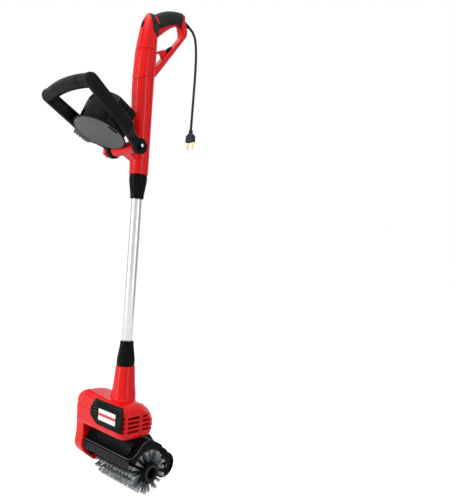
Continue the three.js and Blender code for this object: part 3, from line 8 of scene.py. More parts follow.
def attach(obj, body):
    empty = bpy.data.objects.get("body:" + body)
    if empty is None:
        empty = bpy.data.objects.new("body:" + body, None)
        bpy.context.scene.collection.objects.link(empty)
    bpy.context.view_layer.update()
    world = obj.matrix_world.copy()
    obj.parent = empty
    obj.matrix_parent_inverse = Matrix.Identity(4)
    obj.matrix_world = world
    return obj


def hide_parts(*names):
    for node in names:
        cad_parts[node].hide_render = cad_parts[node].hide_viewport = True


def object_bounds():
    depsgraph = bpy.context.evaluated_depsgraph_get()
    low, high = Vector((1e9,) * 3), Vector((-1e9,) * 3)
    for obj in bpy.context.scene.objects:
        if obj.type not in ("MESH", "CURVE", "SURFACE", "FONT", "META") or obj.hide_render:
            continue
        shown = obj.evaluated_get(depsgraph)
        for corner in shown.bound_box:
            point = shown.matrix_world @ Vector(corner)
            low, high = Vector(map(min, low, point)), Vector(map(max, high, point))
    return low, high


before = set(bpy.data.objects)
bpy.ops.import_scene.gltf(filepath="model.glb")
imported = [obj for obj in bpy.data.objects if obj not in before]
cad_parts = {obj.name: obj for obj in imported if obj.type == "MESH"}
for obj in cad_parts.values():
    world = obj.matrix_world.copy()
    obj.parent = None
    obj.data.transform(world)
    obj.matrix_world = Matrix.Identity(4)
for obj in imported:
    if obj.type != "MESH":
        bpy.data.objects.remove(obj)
cad_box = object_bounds()

# Studio. The camera stands where the photographer stood: a little below the middle of the tool,
# to its front and to the side where the brush ends. It is rolled a little, so the tool leans.
view_place = Vector((0.9677, -0.7966, -0.6263))
view_turn = math.radians(41.9)
view_tilt = math.radians(-2.06)
view_roll = math.radians(3.51)
view_lens = 35.35
view_back = Vector((math.sin(view_turn) * math.cos(view_tilt), -math.cos(view_turn) * math.cos(view_tilt),
                    math.sin(view_tilt)))
view_side = Vector((0, 0, 1)).cross(view_back).normalized()
view_up = view_back.cross(view_side)
picture_right = math.cos(view_roll) * view_side + math.sin(view_roll) * view_up
picture_up = math.cos(view_roll) * view_up - math.sin(view_roll) * view_side
camera_data = bpy.data.cameras.new("photographer")
camera_data.lens = view_lens
camera_data.sensor_width = 36
camera = bpy.data.objects.new("photographer", camera_data)
camera.matrix_world = Matrix((
    (picture_right.x, picture_up.x, view_back.x, view_place.x),
    (picture_right.y, picture_up.y, view_back.y, view_place.y),
    (picture_right.z, picture_up.z, view_back.z, view_place.z), (0, 0, 0, 1),
))
bpy.context.scene.collection.objects.link(camera)
bpy.context.scene.camera = camera
bpy.context.scene.view_settings.view_transform = "Standard"


def add(tree, kind, inputs=None, **settings):
    """Adds one node to a tree. Each input is a value, a socket, or a node that gives its first output."""
    made = tree.nodes.new(kind)
    for key, value in settings.items():
        setattr(made, key, value)
    for key, value in (inputs or {}).items():
        if isinstance(value, bpy.types.Node):
            value = value.outputs[0]
        if isinstance(value, bpy.types.NodeSocket):
            tree.links.new(value, made.inputs[key])
        else:
            made.inputs[key].default_value = value
    return made


def emptied(block):
    """Gives a material or a world an empty tree of nodes."""
    block.use_nodes = True
    block.node_tree.nodes.clear()
    return block.node_tree


def seen_directly(tree):
    """One for what the camera, a reflection or a clear piece sees, and nought for all other light."""
    path = add(tree, "ShaderNodeLightPath").outputs
    seen = add(tree, "ShaderNodeMath", {0: path["Is Camera Ray"], 1: path["Is Glossy Ray"]},
               operation="MAXIMUM")
    return add(tree, "ShaderNodeMath", {0: seen, 1: path["Is Transmission Ray"]}, operation="MAXIMUM")


def meshed(name, points, faces):
    """A new object with a mesh of its own, from points in metres."""
    mesh = bpy.data.meshes.new(name)
    mesh.from_pydata(points, [], faces)
    made = bpy.data.objects.new(name, mesh)
    bpy.context.scene.collection.objects.link(made)
    return made


# The sweep of white paper that the tool stands on. The paper takes the tool's shadow, and glows
# a little towards the camera, so that it comes out nearly as white as in the photograph.
four_corners = ((-1, -1), (1, -1), (1, 1), (-1, 1))
paper_grey, paper_glow, paper_reach = 0.62, 0.8, 9
paper = bpy.data.materials.new("white_paper")
paper_tree = emptied(paper)
paper_lit = add(paper_tree, "ShaderNodeMath", {0: seen_directly(paper_tree), 1: paper_glow},
                operation="MULTIPLY")
paper_matt = add(paper_tree, "ShaderNodeBsdfDiffuse", {"Color": (paper_grey, paper_grey, paper_grey, 1)})
paper_light = add(paper_tree, "ShaderNodeEmission", {"Color": (1, 1, 1, 1), "Strength": paper_lit})
paper_sum = add(paper_tree, "ShaderNodeAddShader", {0: paper_matt, 1: paper_light})
add(paper_tree, "ShaderNodeOutputMaterial", {"Surface": paper_sum})
floor = meshed("paper_floor", [(x * paper_reach, y * paper_reach, cad_box[0][2]) for x, y in four_corners],
               [(0, 1, 2, 3)])
floor.data.materials.append(paper)

# The room round the sweep: plain white to the camera and in reflections, a soft grey light otherwise
room_grey = 0.36
room = bpy.data.worlds.new("white_room")
room_tree = emptied(room)
room_lit = add(room_tree, "ShaderNodeMath", {0: seen_directly(room_tree), 1: 1 - room_grey, 2: room_grey},
               operation="MULTIPLY_ADD")
room_back = add(room_tree, "ShaderNodeBackground", {"Color": (1, 1, 1, 1), "Strength": room_lit})
add(room_tree, "ShaderNodeOutputWorld", {"Surface": room_back})
bpy.context.scene.world = room

# Lamps: rectangular softboxes that face the middle of the tool. Two dark cloths on frames, out of the
# picture, draw a darker line along the edges of glossy pieces.
tool_middle = Vector((0, -0.1, -0.6))
for name, place, width, height, power in (
    ("tall_softbox_left", (-0.9, -2.3, -0.1), 0.7, 2.2, 44),
    ("tall_softbox_right", (2.3, 0.2, -0.2), 0.5, 2.2, 14),
    ("top_softbox", (0.3, -0.6, 1.6), 1.8, 1.8, 32),
):
    lamp_data = bpy.data.lights.new(name, "AREA")
    lamp_data.shape = "RECTANGLE"
    lamp_data.size = width
    lamp_data.size_y = height
    lamp_data.energy = power
    lamp = bpy.data.objects.new(name, lamp_data)
    lamp.location = place
    lamp.rotation_euler = (tool_middle - Vector(place)).to_track_quat("-Z", "Y").to_euler()
    bpy.context.scene.collection.objects.link(lamp)
flag_cloth = bpy.data.materials.new("dark_flag_cloth")
flag_tree = emptied(flag_cloth)
flag_matt = add(flag_tree, "ShaderNodeBsdfDiffuse", {"Color": (0.03, 0.03, 0.03, 1)})
add(flag_tree, "ShaderNodeOutputMaterial", {"Surface": flag_matt})
flag_width, flag_height = 0.55, 2.4
for name, place in (("flag_left", Vector((-1.25, 0.35, -0.5))), ("flag_right", Vector((0.55, 1.15, -0.5)))):
    flag_side = Vector((place.y, -place.x, 0)).normalized() * flag_width / 2
    flag = meshed(name, [place + flag_side * a + Vector((0, 0, flag_height / 2 * b)) for a, b in four_corners],
                  [(0, 1, 2, 3)])
    flag.data.materials.append(flag_cloth)
    flag.visible_camera = False
    flag.visible_diffuse = False
    flag.visible_shadow = False


# Mains lead: a round rubber flex that leaves the boot at the rear post and hangs free, about 0.3 m
# long, to a moulded plug. Such tools have a short lead, to be joined to an extension lead.
grip_back, grip_height = 62, 1108


def row(x, y, z):
    """Millimetres from the tube's axis and the brush axle's height, made metres from the rear grip."""
    return (x / 1000, (y - grip_back) / 1000, (z - grip_height) / 1000)


def linear(code):
    """An sRGB colour code as linear colour."""
    shares = [int(code[i:i + 2], 16) / 255 for i in (1, 3, 5)]
    return tuple(c / 12.92 if c <= 0.04045 else ((c + 0.055) / 1.055) ** 2.4 for c in shares) + (1,)


def moulded(name, colour, dark, roughness, spread, grain, specular=0.5, mottle=0.12, coat=0.0):
    """Moulded plastic or rubber: a colour that varies a little, and a grain of some width and depth in mm."""
    made = bpy.data.materials.new(name)
    tree = emptied(made)
    place = add(tree, "ShaderNodeTexCoord").outputs["Object"]
    wide = add(tree, "ShaderNodeTexNoise", {"Vector": place, "Scale": 1000 / 55, "Detail": 3.0})
    tone = add(tree, "ShaderNodeMapRange", {"Value": wide, "From Min": 0.3, "From Max": 0.75,
                                            "To Min": 0.0, "To Max": mottle})
    mixed = add(tree, "ShaderNodeMix", {0: tone, 6: linear(colour), 7: linear(dark)}, data_type="RGBA")
    smear = add(tree, "ShaderNodeTexNoise",
                {"Vector": place, "Scale": 1000 / 14, "Detail": 5.0, "Roughness": 0.65})
    rough = add(tree, "ShaderNodeMapRange", {"Value": smear, "From Min": 0.3, "From Max": 0.7,
                                             "To Min": roughness - spread, "To Max": roughness + spread})
    pores = add(tree, "ShaderNodeTexNoise", {"Vector": place, "Scale": 1000 / grain[0], "Detail": 2.0})
    bump = add(tree, "ShaderNodeBump", {"Height": pores, "Strength": 0.5, "Distance": grain[1] / 1000})
    skin = add(tree, "ShaderNodeBsdfPrincipled", {
        "Base Color": mixed.outputs[2], "Roughness": rough, "Normal": bump, "Specular IOR Level": specular,
        "Coat Weight": coat, "Coat Roughness": 0.08})
    add(tree, "ShaderNodeOutputMaterial", {"Surface": skin})
    return made


# Flex sheath: black PVC-rubber blend, extruded, so it has a dull skin with hardly any grain
flex_rubber = moulded("extruded_flex_rubber", "#131314", "#1c1c1d", roughness=0.5, spread=0.08,
                      grain=(1.4, 0.05), specular=0.25)
lead_radius, lead_gap = 3.3, 0.3
loop_reach, loop_foot, loop_height, loop_half = 121, 934, 204, 12
boot_place = (0.895 * loop_reach, loop_foot + 0.925 * loop_height)
boot_turn, boot_reach = math.radians(106), 26
lead_start = (boot_place[0] + math.sin(boot_turn) * (boot_reach + lead_gap),
              boot_place[1] + math.cos(boot_turn) * (boot_reach + lead_gap))
lead_points = [
    (0, 0), (6.6, -2.4), (12.6, -6), (17.7, -10.8), (21.7, -16.5), (24.7, -22.9), (27, -30.5), (29.3, -42.3),
    (31.2, -58.2), (32.5, -76.2), (33.1, -96), (33.2, -118), (33, -141), (32.6, -165), (32.1, -190),
    (31.6, -216), (31.1, -242), (30.7, -268),
]


def smooth_line(points, steps):
    """Points along a smooth line through the given points of any number of values."""
    line = []
    last = len(points) - 1
    for i in range(last):
        before, start, end, after = (points[max(i - 1, 0)], points[i], points[i + 1], points[min(i + 2, last)])
        for k in range(steps):
            t = k / steps
            line.append(tuple(0.5 * (2 * b + (c - a) * t + (2 * a - 5 * b + 4 * c - d) * t * t
                                     + (3 * b - a - 3 * c + d) * t ** 3)
                              for a, b, c, d in zip(before, start, end, after)))
    line.append(tuple(points[last]))
    return line


lead_line = [row(0, lead_start[0] + y, lead_start[1] + z) for y, z in smooth_line(lead_points, 5)]
lead_curve = bpy.data.curves.new("mains_lead", "CURVE")
lead_curve.dimensions = "3D"
lead_curve.bevel_depth = lead_radius / 1000
lead_curve.bevel_resolution = 5
lead_curve.use_fill_caps = True
lead_spline = lead_curve.splines.new("POLY")
lead_spline.points.add(len(lead_line) - 1)
for point, place in zip(lead_spline.points, lead_line):
    point.co = (*place, 1)
lead_curve.materials.append(flex_rubber)
mains_lead = bpy.data.objects.new("mains_lead", lead_curve)
bpy.context.scene.collection.objects.link(mains_lead)


def dress(made, body, slot_name, *nodes):
    """Lets a piece ride with a body, in place of the frame's own nodes. The slot name is not used."""
    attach(made, body)
    for node in nodes:
        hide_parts(node)


dress(mains_lead, "upper_unit", "rubber", "power_cord")


# Plug: black PVC-rubber moulded in one piece over the flex and two brass pins. It is oval, with a
# waist where the flex goes in, and widens to give the fingers a hold.
def shaded(made, angle):
    """Shades a piece smooth, except across edges sharper than the angle."""
    made.data.shade_smooth()
    made.data.set_sharp_from_angle(angle=math.radians(angle))
    return made


def shaped(name, points, faces, finish, angle=35):
    """A mesh object from points in millimetres, with its faces turned outwards."""
    made = meshed(name, [row(*p) for p in points], faces)
    made.data.validate()
    made.data.materials.append(finish)
    clean = bmesh.new()
    clean.from_mesh(made.data)
    bmesh.ops.remove_doubles(clean, verts=clean.verts, dist=0.000002)
    bmesh.ops.recalc_face_normals(clean, faces=clean.faces)
    clean.to_mesh(made.data)
    clean.free()
    return shaded(made, angle)


def skinned(rings):
    """Points and faces of a skin over rings with equal counts, closed by a flat face at each end."""
    count = len(rings[0])
    points = [p for ring in rings for p in ring]
    faces = []
    for k in range(len(rings) - 1):
        for i in range(count):
            j = (i + 1) % count
            faces.append((k * count + i, k * count + j, (k + 1) * count + j, (k + 1) * count + i))
    faces.append(tuple(reversed(range(count))))
    faces.append(tuple(range((len(rings) - 1) * count, len(rings) * count)))
    return points, faces


def circle(count, start=0.0):
    """Pairs of cosine and sine in even steps round a circle."""
    return [(math.cos(a), math.sin(a)) for a in (2 * math.pi * (i + start) / count for i in range(count))]


def oval(power, count):
    """Shares of the two half sizes round a superellipse."""
    return [(math.copysign(abs(c) ** (2 / power), c), math.copysign(abs(s) ** (2 / power), s))
            for c, s in circle(count, 0.5)]


def upright(stations, power, count):
    """Level oval rings from stations of height, half width, half depth and depth of the centre."""
    pairs = oval(power, count)
    return [[(a * wide, back + b * deep, z) for a, b in pairs] for z, wide, deep, back in stations]


plug_back = lead_start[0] + lead_points[-1][0]
plug_top = lead_start[1] + lead_points[-1][1] - lead_gap
plug_sizes = [(0, 4.4, 4.4), (5, 4.9, 4.7), (10, 6.4, 5.0), (15, 12.8, 6.2), (18, 15.4, 6.7), (24, 15.8, 7.0),
              (32, 16, 7.2), (33.4, 15.7, 7.2), (34, 14.8, 6.4)]
plug_stations = smooth_line([(plug_top - down, wide, deep, plug_back) for down, wide, deep in plug_sizes], 4)
plug_cover = shaped("plug_moulding", *skinned(upright(plug_stations, 3, 48)), flex_rubber)
dress(plug_cover, "upper_unit", "rubber", "plug_body")


# Upper unit: two halves of glossy red ABS, injection moulded and screwed together on the middle
# plane. They form the column round the tube, the D-handle with its strut, and the pivot barrel.
def rounded(corners, radius, steps=6):
    """An outline through the given corners, each turned into a curve."""
    line = []
    count = len(corners)
    for i in range(count):
        here = Vector(corners[i])
        before = Vector(corners[i - 1]) - here
        after = Vector(corners[(i + 1) % count]) - here
        reach = min(radius, before.length * 0.45, after.length * 0.45)
        start, end = here + before.normalized() * reach, here + after.normalized() * reach
        for k in range(steps + 1):
            t = k / steps
            line.append(tuple(start * (1 - t) ** 2 + here * 2 * t * (1 - t) + end * t * t))
    return line


def slab_x(outline, x0, x1):
    """Points and faces of an outline of depth and height, drawn out along X."""
    return skinned([[(x0, y, z) for y, z in outline], [(x1, y, z) for y, z in outline]])


def rod_x(radius, x0, x1, y, z, count=48):
    """A plain round rod along X."""
    return slab_x([(y + radius * c, z + radius * s) for c, s in circle(count, 0.5)], x0, x1)


def box(x0, x1, y0, y1, z0, z1):
    """A plain block."""
    return slab_x([(y0, z0), (y1, z0), (y1, z1), (y0, z1)], x0, x1)


def settled(made):
    """Turns what a piece's modifiers make of it into its plain mesh."""
    bpy.context.view_layer.update()
    graph = bpy.context.evaluated_depsgraph_get()
    finished = bpy.data.meshes.new_from_object(made.evaluated_get(graph), depsgraph=graph)
    made.modifiers.clear()
    made.data = finished
    return made


def softened(made, width_mm, angle=50, segments=3):
    """Rounds a piece's sharp edges, as a mould does."""
    step = made.modifiers.new("edge", "BEVEL")
    step.width = width_mm / 1000
    step.segments = segments
    step.limit_method = "ANGLE"
    step.angle_limit = math.radians(angle)
    step.use_clamp_overlap = True
    return shaded(settled(made), 40)


def fused(name, parts, finish, voxel_mm, passes):
    """Melts overlapping solids into one moulding with small fillets where they meet."""
    whole = bmesh.new()
    for part in parts:
        whole.from_mesh(part.data)
        bpy.data.objects.remove(part)
    mesh = bpy.data.meshes.new(name)
    whole.to_mesh(mesh)
    whole.free()
    mesh.materials.append(finish)
    made = bpy.data.objects.new(name, mesh)
    bpy.context.scene.collection.objects.link(made)
    melt = made.modifiers.new("melt", "REMESH")
    melt.mode = "VOXEL"
    melt.voxel_size = voxel_mm / 1000
    melt.adaptivity = 0
    relax = made.modifiers.new("relax", "SMOOTH")
    relax.factor = 0.5
    relax.iterations = passes
    settled(made)
    made.data.materials.clear()
    made.data.materials.append(finish)
    return made


def tool(solid):
    """A solid that carves a piece and is then gone."""
    return shaped("tool", *solid, red_abs)


def carved(made, tools, how="DIFFERENCE", angle=38):
    """Cuts the tools out of a piece, or keeps what it shares with them. Cut faces take the piece's finish."""
    for cutter in tools:
        cutter.data.materials[0] = made.data.materials[0]
        step = made.modifiers.new("carve", "BOOLEAN")
        step.operation = how
        step.solver = "MANIFOLD"
        step.object = cutter
    settled(made)
    for cutter in tools:
        bpy.data.objects.remove(cutter)
    return shaded(made, angle)


def copied(source, name):
    """A second object with a mesh of its own."""
    made = bpy.data.objects.new(name, source.data.copy())
    bpy.context.scene.collection.objects.link(made)
    return made


# Polished moulds leave red ABS with a clear gloss over a very faint ripple
red_abs = moulded("polished_red_abs", "#e8171a", "#d51015", roughness=0.2, spread=0.05, grain=(5.0, 0.10),
                  specular=0.16, mottle=0.35, coat=0.02)
column_foot, column_height, column_radius, column_power, column_facets = 694, 404, 25.6, 2.3, 72
column_shares = [
    (0, 0.84, 0.84, 0), (0.05, 0.86, 0.86, 0), (0.33, 0.92, 0.93, -0.1), (0.55, 0.98, 1, -0.19),
    (0.72, 0.975, 0.995, -0.12), (0.755, 0.96, 0.98, -0.1), (0.785, 0.93, 0.95, -0.07),
    (0.84, 0.87, 0.91, 0.01), (0.92, 0.74, 0.82, 0.13), (0.965, 0.58, 0.66, 0.2), (0.99, 0.36, 0.42, 0.25),
    (0.998, 0.17, 0.2, 0.268),
]


def column_rings(grow, steps=5):
    """Oval rings of the column, grown or shrunk by some millimetres."""
    stations = [(column_foot + rise * column_height, wide * column_radius + grow, deep * column_radius + grow,
                 back * column_radius) for rise, wide, deep, back in smooth_line(column_shares, steps)]
    return upright(stations, column_power, column_facets)


def in_loop(shares):
    """Depth and height from shares of the D-handle's reach and height."""
    return [(back * loop_reach, loop_foot + rise * loop_height) for back, rise in shares]


loop_outer = rounded(in_loop([(0.04, 0.03), (0.11, -0.035), (0.99, 0.735), (0.985, 0.82), (0.912, 0.89),
                              (0.895, 0.995), (0.76, 0.97), (0.05, 0.78)]), 9)
loop_inner = rounded(in_loop([(0.21, 0.176), (0.876, 0.716), (0.81, 0.843), (0.8, 1.2), (-0.1, 1.2),
                              (-0.1, 0.18)]), 8)
loop_plate = softened(shaped("loop_plate", *slab_x(loop_outer, -loop_half, loop_half), red_abs), 3.4, 50, 4)
carved(loop_plate, [tool(slab_x(loop_inner, -2 * loop_half, 2 * loop_half))])
softened(loop_plate, 2.2)
bar_shares = smooth_line([
    (0, 0.74, 0.02, 0.47), (0.125, 0.811, 0.09, 0.525), (0.19, 0.845, 0.125, 0.58), (0.3, 0.89, 0.265, 0.66),
    (0.45, 0.938, 0.48, 0.748), (0.64, 0.978, 0.645, 0.8), (0.8, 1, 0.79, 0.826), (0.87, 0.995, 0.86, 0.84),
], 6)
grip_half_width = 17


def bar_rings(share, count):
    """Oval rings of the bar under the soft grip, at a share of its thickness."""
    rings = []
    for top_back, top_rise, low_back, low_rise in bar_shares:
        (top_y, top_z), (low_y, low_z) = in_loop([(top_back, top_rise), (low_back, low_rise)])
        rings.append([(a * grip_half_width * share, (top_y + low_y) / 2 + b * share * (top_y - low_y) / 2,
                       (top_z + low_z) / 2 + b * share * (top_z - low_z) / 2) for a, b in oval(2.6, count)])
    return rings


hub_depth, hub_height, hub_radius, hub_half = 41.5, 750, 15, 43.5
hub_web = rounded([(0, hub_height + 2.6 * hub_radius), (-hub_depth, hub_height + hub_radius * 0.9),
                   (-hub_depth, hub_height - hub_radius * 0.9), (0, hub_height - 2.2 * hub_radius)], 5)
bolt_line = (-hub_depth, hub_height)
tube_radius, spigot_radius = 12.5, 16.6
trigger_shares = [(0.207, 0.54), (0.383, 0.652), (0.555, 0.747), (0.711, 0.809), (0.77, 0.828), (0.77, 0.857),
                  (0.711, 0.873), (0.579, 0.843), (0.413, 0.789), (0.281, 0.725), (0.215, 0.667), (0.198, 0.6)]
trigger_pin = in_loop([(0.727, 0.838)])[0]
trigger_half, trigger_travel, trigger_gap = 7.5, math.radians(4.6), 0.6


def trigger_room():
    """The slot that the paddle moves in: its outline grown, at rest and part way through its travel."""
    corners = in_loop(trigger_shares)
    middle = Vector((sum(y for y, z in corners) / len(corners), sum(z for y, z in corners) / len(corners)))
    rooms = []
    for step in range(4):
        angle = -trigger_travel * step / 3
        outline = []
        for corner in corners:
            out = Vector(corner) - middle
            out = out.normalized() * (out.length + 1.5)
            arm = middle + out - Vector(trigger_pin)
            outline.append((trigger_pin[0] + arm.x * math.cos(angle) - arm.y * math.sin(angle),
                            trigger_pin[1] + arm.x * math.sin(angle) + arm.y * math.cos(angle)))
        rooms.append(tool(slab_x(rounded(outline, 3), -trigger_half - trigger_gap, trigger_half + trigger_gap)))
    return rooms


lock_place = in_loop([(0.098, 0.711)])[0]
lock_lean = math.radians(46)


def lock_slab(grow, inner, outer):
    """The lock button's bean-shaped outline, leaning along the grip's front."""
    half_y, half_z = 3.2 + grow, 9 + grow
    flat = rounded([(-half_y, -half_z), (half_y, -half_z), (half_y, half_z), (-half_y, half_z)], 3)
    leaning = [(lock_place[0] + y * math.cos(lock_lean) - z * math.sin(lock_lean),
                lock_place[1] + y * math.sin(lock_lean) + z * math.cos(lock_lean)) for y, z in flat]
    return slab_x(leaning, inner, outer)


def turned(name, profile, origin, axis, finish=red_abs, count=64, angle=35):
    """A solid turned round an axis from pairs of radius and distance; with a bore, its two ends are joined."""
    axis = Vector(axis).normalized()
    across = axis.cross(Vector((0.3, 0.9, 0.2))).normalized()
    third = axis.cross(across)
    joined = profile[0][0] > 0.001
    points = [tuple(Vector(origin) + axis * along + (across * c + third * s) * radius)
              for radius, along in profile for c, s in circle(count)]
    rows = len(profile)
    faces = []
    for k in range(rows if joined else rows - 1):
        for i in range(count):
            j, n = (i + 1) % count, (k + 1) % rows
            faces.append((k * count + i, k * count + j, n * count + j, n * count + i))
    return shaped(name, points, faces, finish, angle)


def rod_between(name, start, end, radius, finish=red_abs, count=48):
    """A plain round rod between two points."""
    run = Vector(end) - Vector(start)
    return turned(name, [(0, 0), (radius, 0), (radius, run.length), (0, run.length)], start, run, finish, count)


boot_axis = Vector((0, math.sin(boot_turn), math.cos(boot_turn)))
boot_origin = Vector((0, *boot_place))
upper_parts = [
    shaped("column_blank", *skinned(column_rings(0)), red_abs),
    loop_plate,
    shaped("bar_blank", *skinned(bar_rings(0.62, 48)), red_abs),
    shaped("barrel_blank", *rod_x(hub_radius, -hub_half + 0.4, hub_half - 0.4, *bolt_line), red_abs),
    shaped("web_blank", *slab_x(hub_web, -15, 15), red_abs),
    rod_between("spigot_blank", (0, 0, 668), (0, 0, 715), spigot_radius, red_abs),
]
upper_voxel = 1.1
upper_body = fused("upper_body", upper_parts, red_abs, upper_voxel, 5)
# Grooves: the joint under the handle, a slanted one below it, and two upright seams down the front
groove_tools = []
for groove_rise, groove_lean, groove_half, inner_wide, inner_deep, inner_back in (
    (0.763, -0.19, 0.8, 0.93 * column_radius - 1.5, 0.95 * column_radius - 1.5, -2.2),
    (0.6, -0.5, 0.9, 0.98 * column_radius - 3.0, column_radius - 3.0, -4.8),
):
    groove_height = column_foot + groove_rise * column_height
    outer, inner = ([[(x, y, z - groove_lean * y) for x, y, z in ring] for ring in upright(
        [(groove_height + dz, wide, deep, back) for dz in (-half, half)], column_power, column_facets)]
        for half, wide, deep, back in ((groove_half, column_radius * 1.3, column_radius * 1.3, -2.5),
                                       (3, inner_wide, inner_deep, inner_back)))
    groove = tool(skinned(outer))
    carved(groove, [tool(skinned(inner)), tool(box(-13, 13, 17, 60, 900, 1100))])
    groove_tools.append(groove)
seam_half = 0.8
for seam_x in (-8, 8):
    for low, high in ((690, 716), (792, 1052)):
        front_seam = tool(box(seam_x - seam_half, seam_x + seam_half, -45, 0, low, high))
        carved(front_seam, [tool(skinned(column_rings(-2.0, 3)))])
        groove_tools.append(front_seam)
inset_lean = math.radians(-180 / 14)


def inset_slab(grow, outer, inner):
    """The small oval plug in the column's front, leaning back with the column."""
    half_w, half_l = 4 + grow, 9.5 + grow
    height = column_foot + 0.905 * column_height
    flat = rounded([(-half_w, -half_l), (half_w, -half_l), (half_w, half_l), (-half_w, half_l)], 4)
    return skinned([[(x, y * math.cos(inset_lean) - z * math.sin(inset_lean),
                      height + y * math.sin(inset_lean) + z * math.cos(inset_lean)) for x, z in flat]
                    for y in (outer, inner)])


carved(upper_body, [
    # The tube's bore, the bolt's hole, the trigger's slot, and the beds of the button, plug and boot
    rod_between("bore_tool", (0, 0, 650), (0, 0, 970), tube_radius + 0.6),
    tool(rod_x(4.3, -60, 60, *bolt_line, 32)),
    *trigger_room(),
    tool(lock_slab(0.4, 1.5, 30)),
    tool(inset_slab(0.35, -30, -12.1)),
    rod_between("boot_tool", boot_origin - boot_axis * 6.8, boot_origin + boot_axis * 30, 5.75, count=40),
    *groove_tools,
])
upper_halves = []
for side, shell_name, node_name in ((-1, "column_half_left", "upper_shell_left"),
                                    (1, "column_half_right", "upper_shell_right")):
    half = copied(upper_body, shell_name)
    carved(half, [tool(box(*sorted((side * 0.35, side * 80)), -200, 200, 600, 1200))], "INTERSECT")
    dress(half, "upper_unit", "red_plastic", node_name)
    upper_halves.append(half)
bpy.data.objects.remove(upper_body)


# Screws that hold the two halves together: raised-head steel screws with a cross recess, sunk in
# the far half, where a user's hand doesn't meet them. One tree makes every screw of the tool.
def steel_finish(name, colour, roughness, lines, stretch=(1, 1, 1)):
    """Metal with fine lines left by turning, drawing or rolling, their pitch and depth in mm, run one way."""
    made = bpy.data.materials.new(name)
    tree = emptied(made)
    place = add(tree, "ShaderNodeTexCoord").outputs["Object"]
    run = add(tree, "ShaderNodeMapping", {"Vector": place, "Scale": stretch})
    marks = add(tree, "ShaderNodeTexNoise", {"Vector": run, "Scale": 1000 / lines[0], "Detail": 3.0})
    dull = add(tree, "ShaderNodeTexNoise", {"Vector": place, "Scale": 1000 / 25, "Detail": 4.0})
    rough = add(tree, "ShaderNodeMapRange", {"Value": dull, "From Min": 0.3, "From Max": 0.7,
                                             "To Min": roughness - 0.06, "To Max": roughness + 0.08})
    bump = add(tree, "ShaderNodeBump", {"Height": marks, "Strength": 0.6, "Distance": lines[1] / 1000})
    skin = add(tree, "ShaderNodeBsdfPrincipled", {"Base Color": linear(colour), "Metallic": 1.0,
                                                  "Roughness": rough, "Normal": bump})
    add(tree, "ShaderNodeOutputMaterial", {"Surface": skin})
    return made


# Zinc-plated steel: slightly blue and soft, with the faint rings of the heading tool
zinc_steel = steel_finish("zinc_plated_steel", "#b4b7ba", roughness=0.34, lines=(0.8, 0.02))


def repeat_tree(name, given_name, inputs):
    """Starts a geometry tree on a given mesh. A further input has a name, kind, value and perhaps limits."""
    tree = bpy.data.node_groups.new(name, "GeometryNodeTree")
    tree.interface.new_socket(name=given_name, in_out="INPUT", socket_type="NodeSocketGeometry")
    keys = {}
    for label, kind, value, *limits in inputs + [("Finish", "Material", None)]:
        made = tree.interface.new_socket(name=label, in_out="INPUT", socket_type="NodeSocket" + kind)
        made.default_value = value
        if limits:
            made.min_value, made.max_value = limits
        keys[label] = made.identifier
    tree.interface.new_socket(name="Made", in_out="OUTPUT", socket_type="NodeSocketGeometry")
    return tree, add(tree, "NodeGroupInput").outputs, keys


def ended(tree, given, stood):
    """Ends a geometry tree: its instances become one mesh in the given finish."""
    solid = add(tree, "GeometryNodeRealizeInstances", {0: stood})
    painted = add(tree, "GeometryNodeSetMaterial", {"Geometry": solid, "Material": given["Finish"]})
    add(tree, "NodeGroupOutput", {0: painted})


def grown(made, tree, keys, finish, **values):
    """Runs a geometry tree on a piece, and keeps what it makes as the piece's plain mesh."""
    step = made.modifiers.new("repeat", "NODES")
    step.node_group = tree
    step[keys["Finish"]] = finish
    for label, value in values.items():
        step[keys[label]] = value
    return settled(made)


# The screw's head is a low cylinder with a cross sunk in its top. It stands on each point of a mesh.
screw_tree, given, screw_keys = repeat_tree("cross_recess_screws", "Points", [
    ("Radius", "Float", 0.0035, 0.001, 0.02), ("Height", "Float", 0.0022, 0.0005, 0.02),
    ("Facing", "Rotation", (0, 0, 0))])
head = add(screw_tree, "GeometryNodeMeshCylinder",
           {"Vertices": 24, "Radius": given["Radius"], "Depth": given["Height"]})
blade_long = add(screw_tree, "ShaderNodeMath", {0: given["Radius"], 1: 1.1}, operation="MULTIPLY")
blade_wide = add(screw_tree, "ShaderNodeMath", {0: given["Radius"], 1: 0.3}, operation="MULTIPLY")
blade_size = add(screw_tree, "ShaderNodeCombineXYZ", {0: blade_long, 1: blade_wide, 2: given["Height"]})
blade = add(screw_tree, "GeometryNodeMeshCube", {"Size": blade_size})
rise = add(screw_tree, "ShaderNodeMath", {0: given["Height"], 1: 0.6}, operation="MULTIPLY")
lift = add(screw_tree, "ShaderNodeCombineXYZ", {2: rise})
first = add(screw_tree, "GeometryNodeTransform", {"Geometry": blade, "Translation": lift})
second = add(screw_tree, "GeometryNodeTransform", {"Geometry": first, "Rotation": (0, 0, math.pi / 2)})
recess = add(screw_tree, "GeometryNodeMeshBoolean", {"Mesh 1": head}, operation="DIFFERENCE")
for cutter in (first, second):
    screw_tree.links.new(cutter.outputs[0], recess.inputs["Mesh 2"])
stood = add(screw_tree, "GeometryNodeInstanceOnPoints", {"Points": given["Points"], "Instance": recess,
                                                         "Rotation": given["Facing"]})
ended(screw_tree, given, stood)


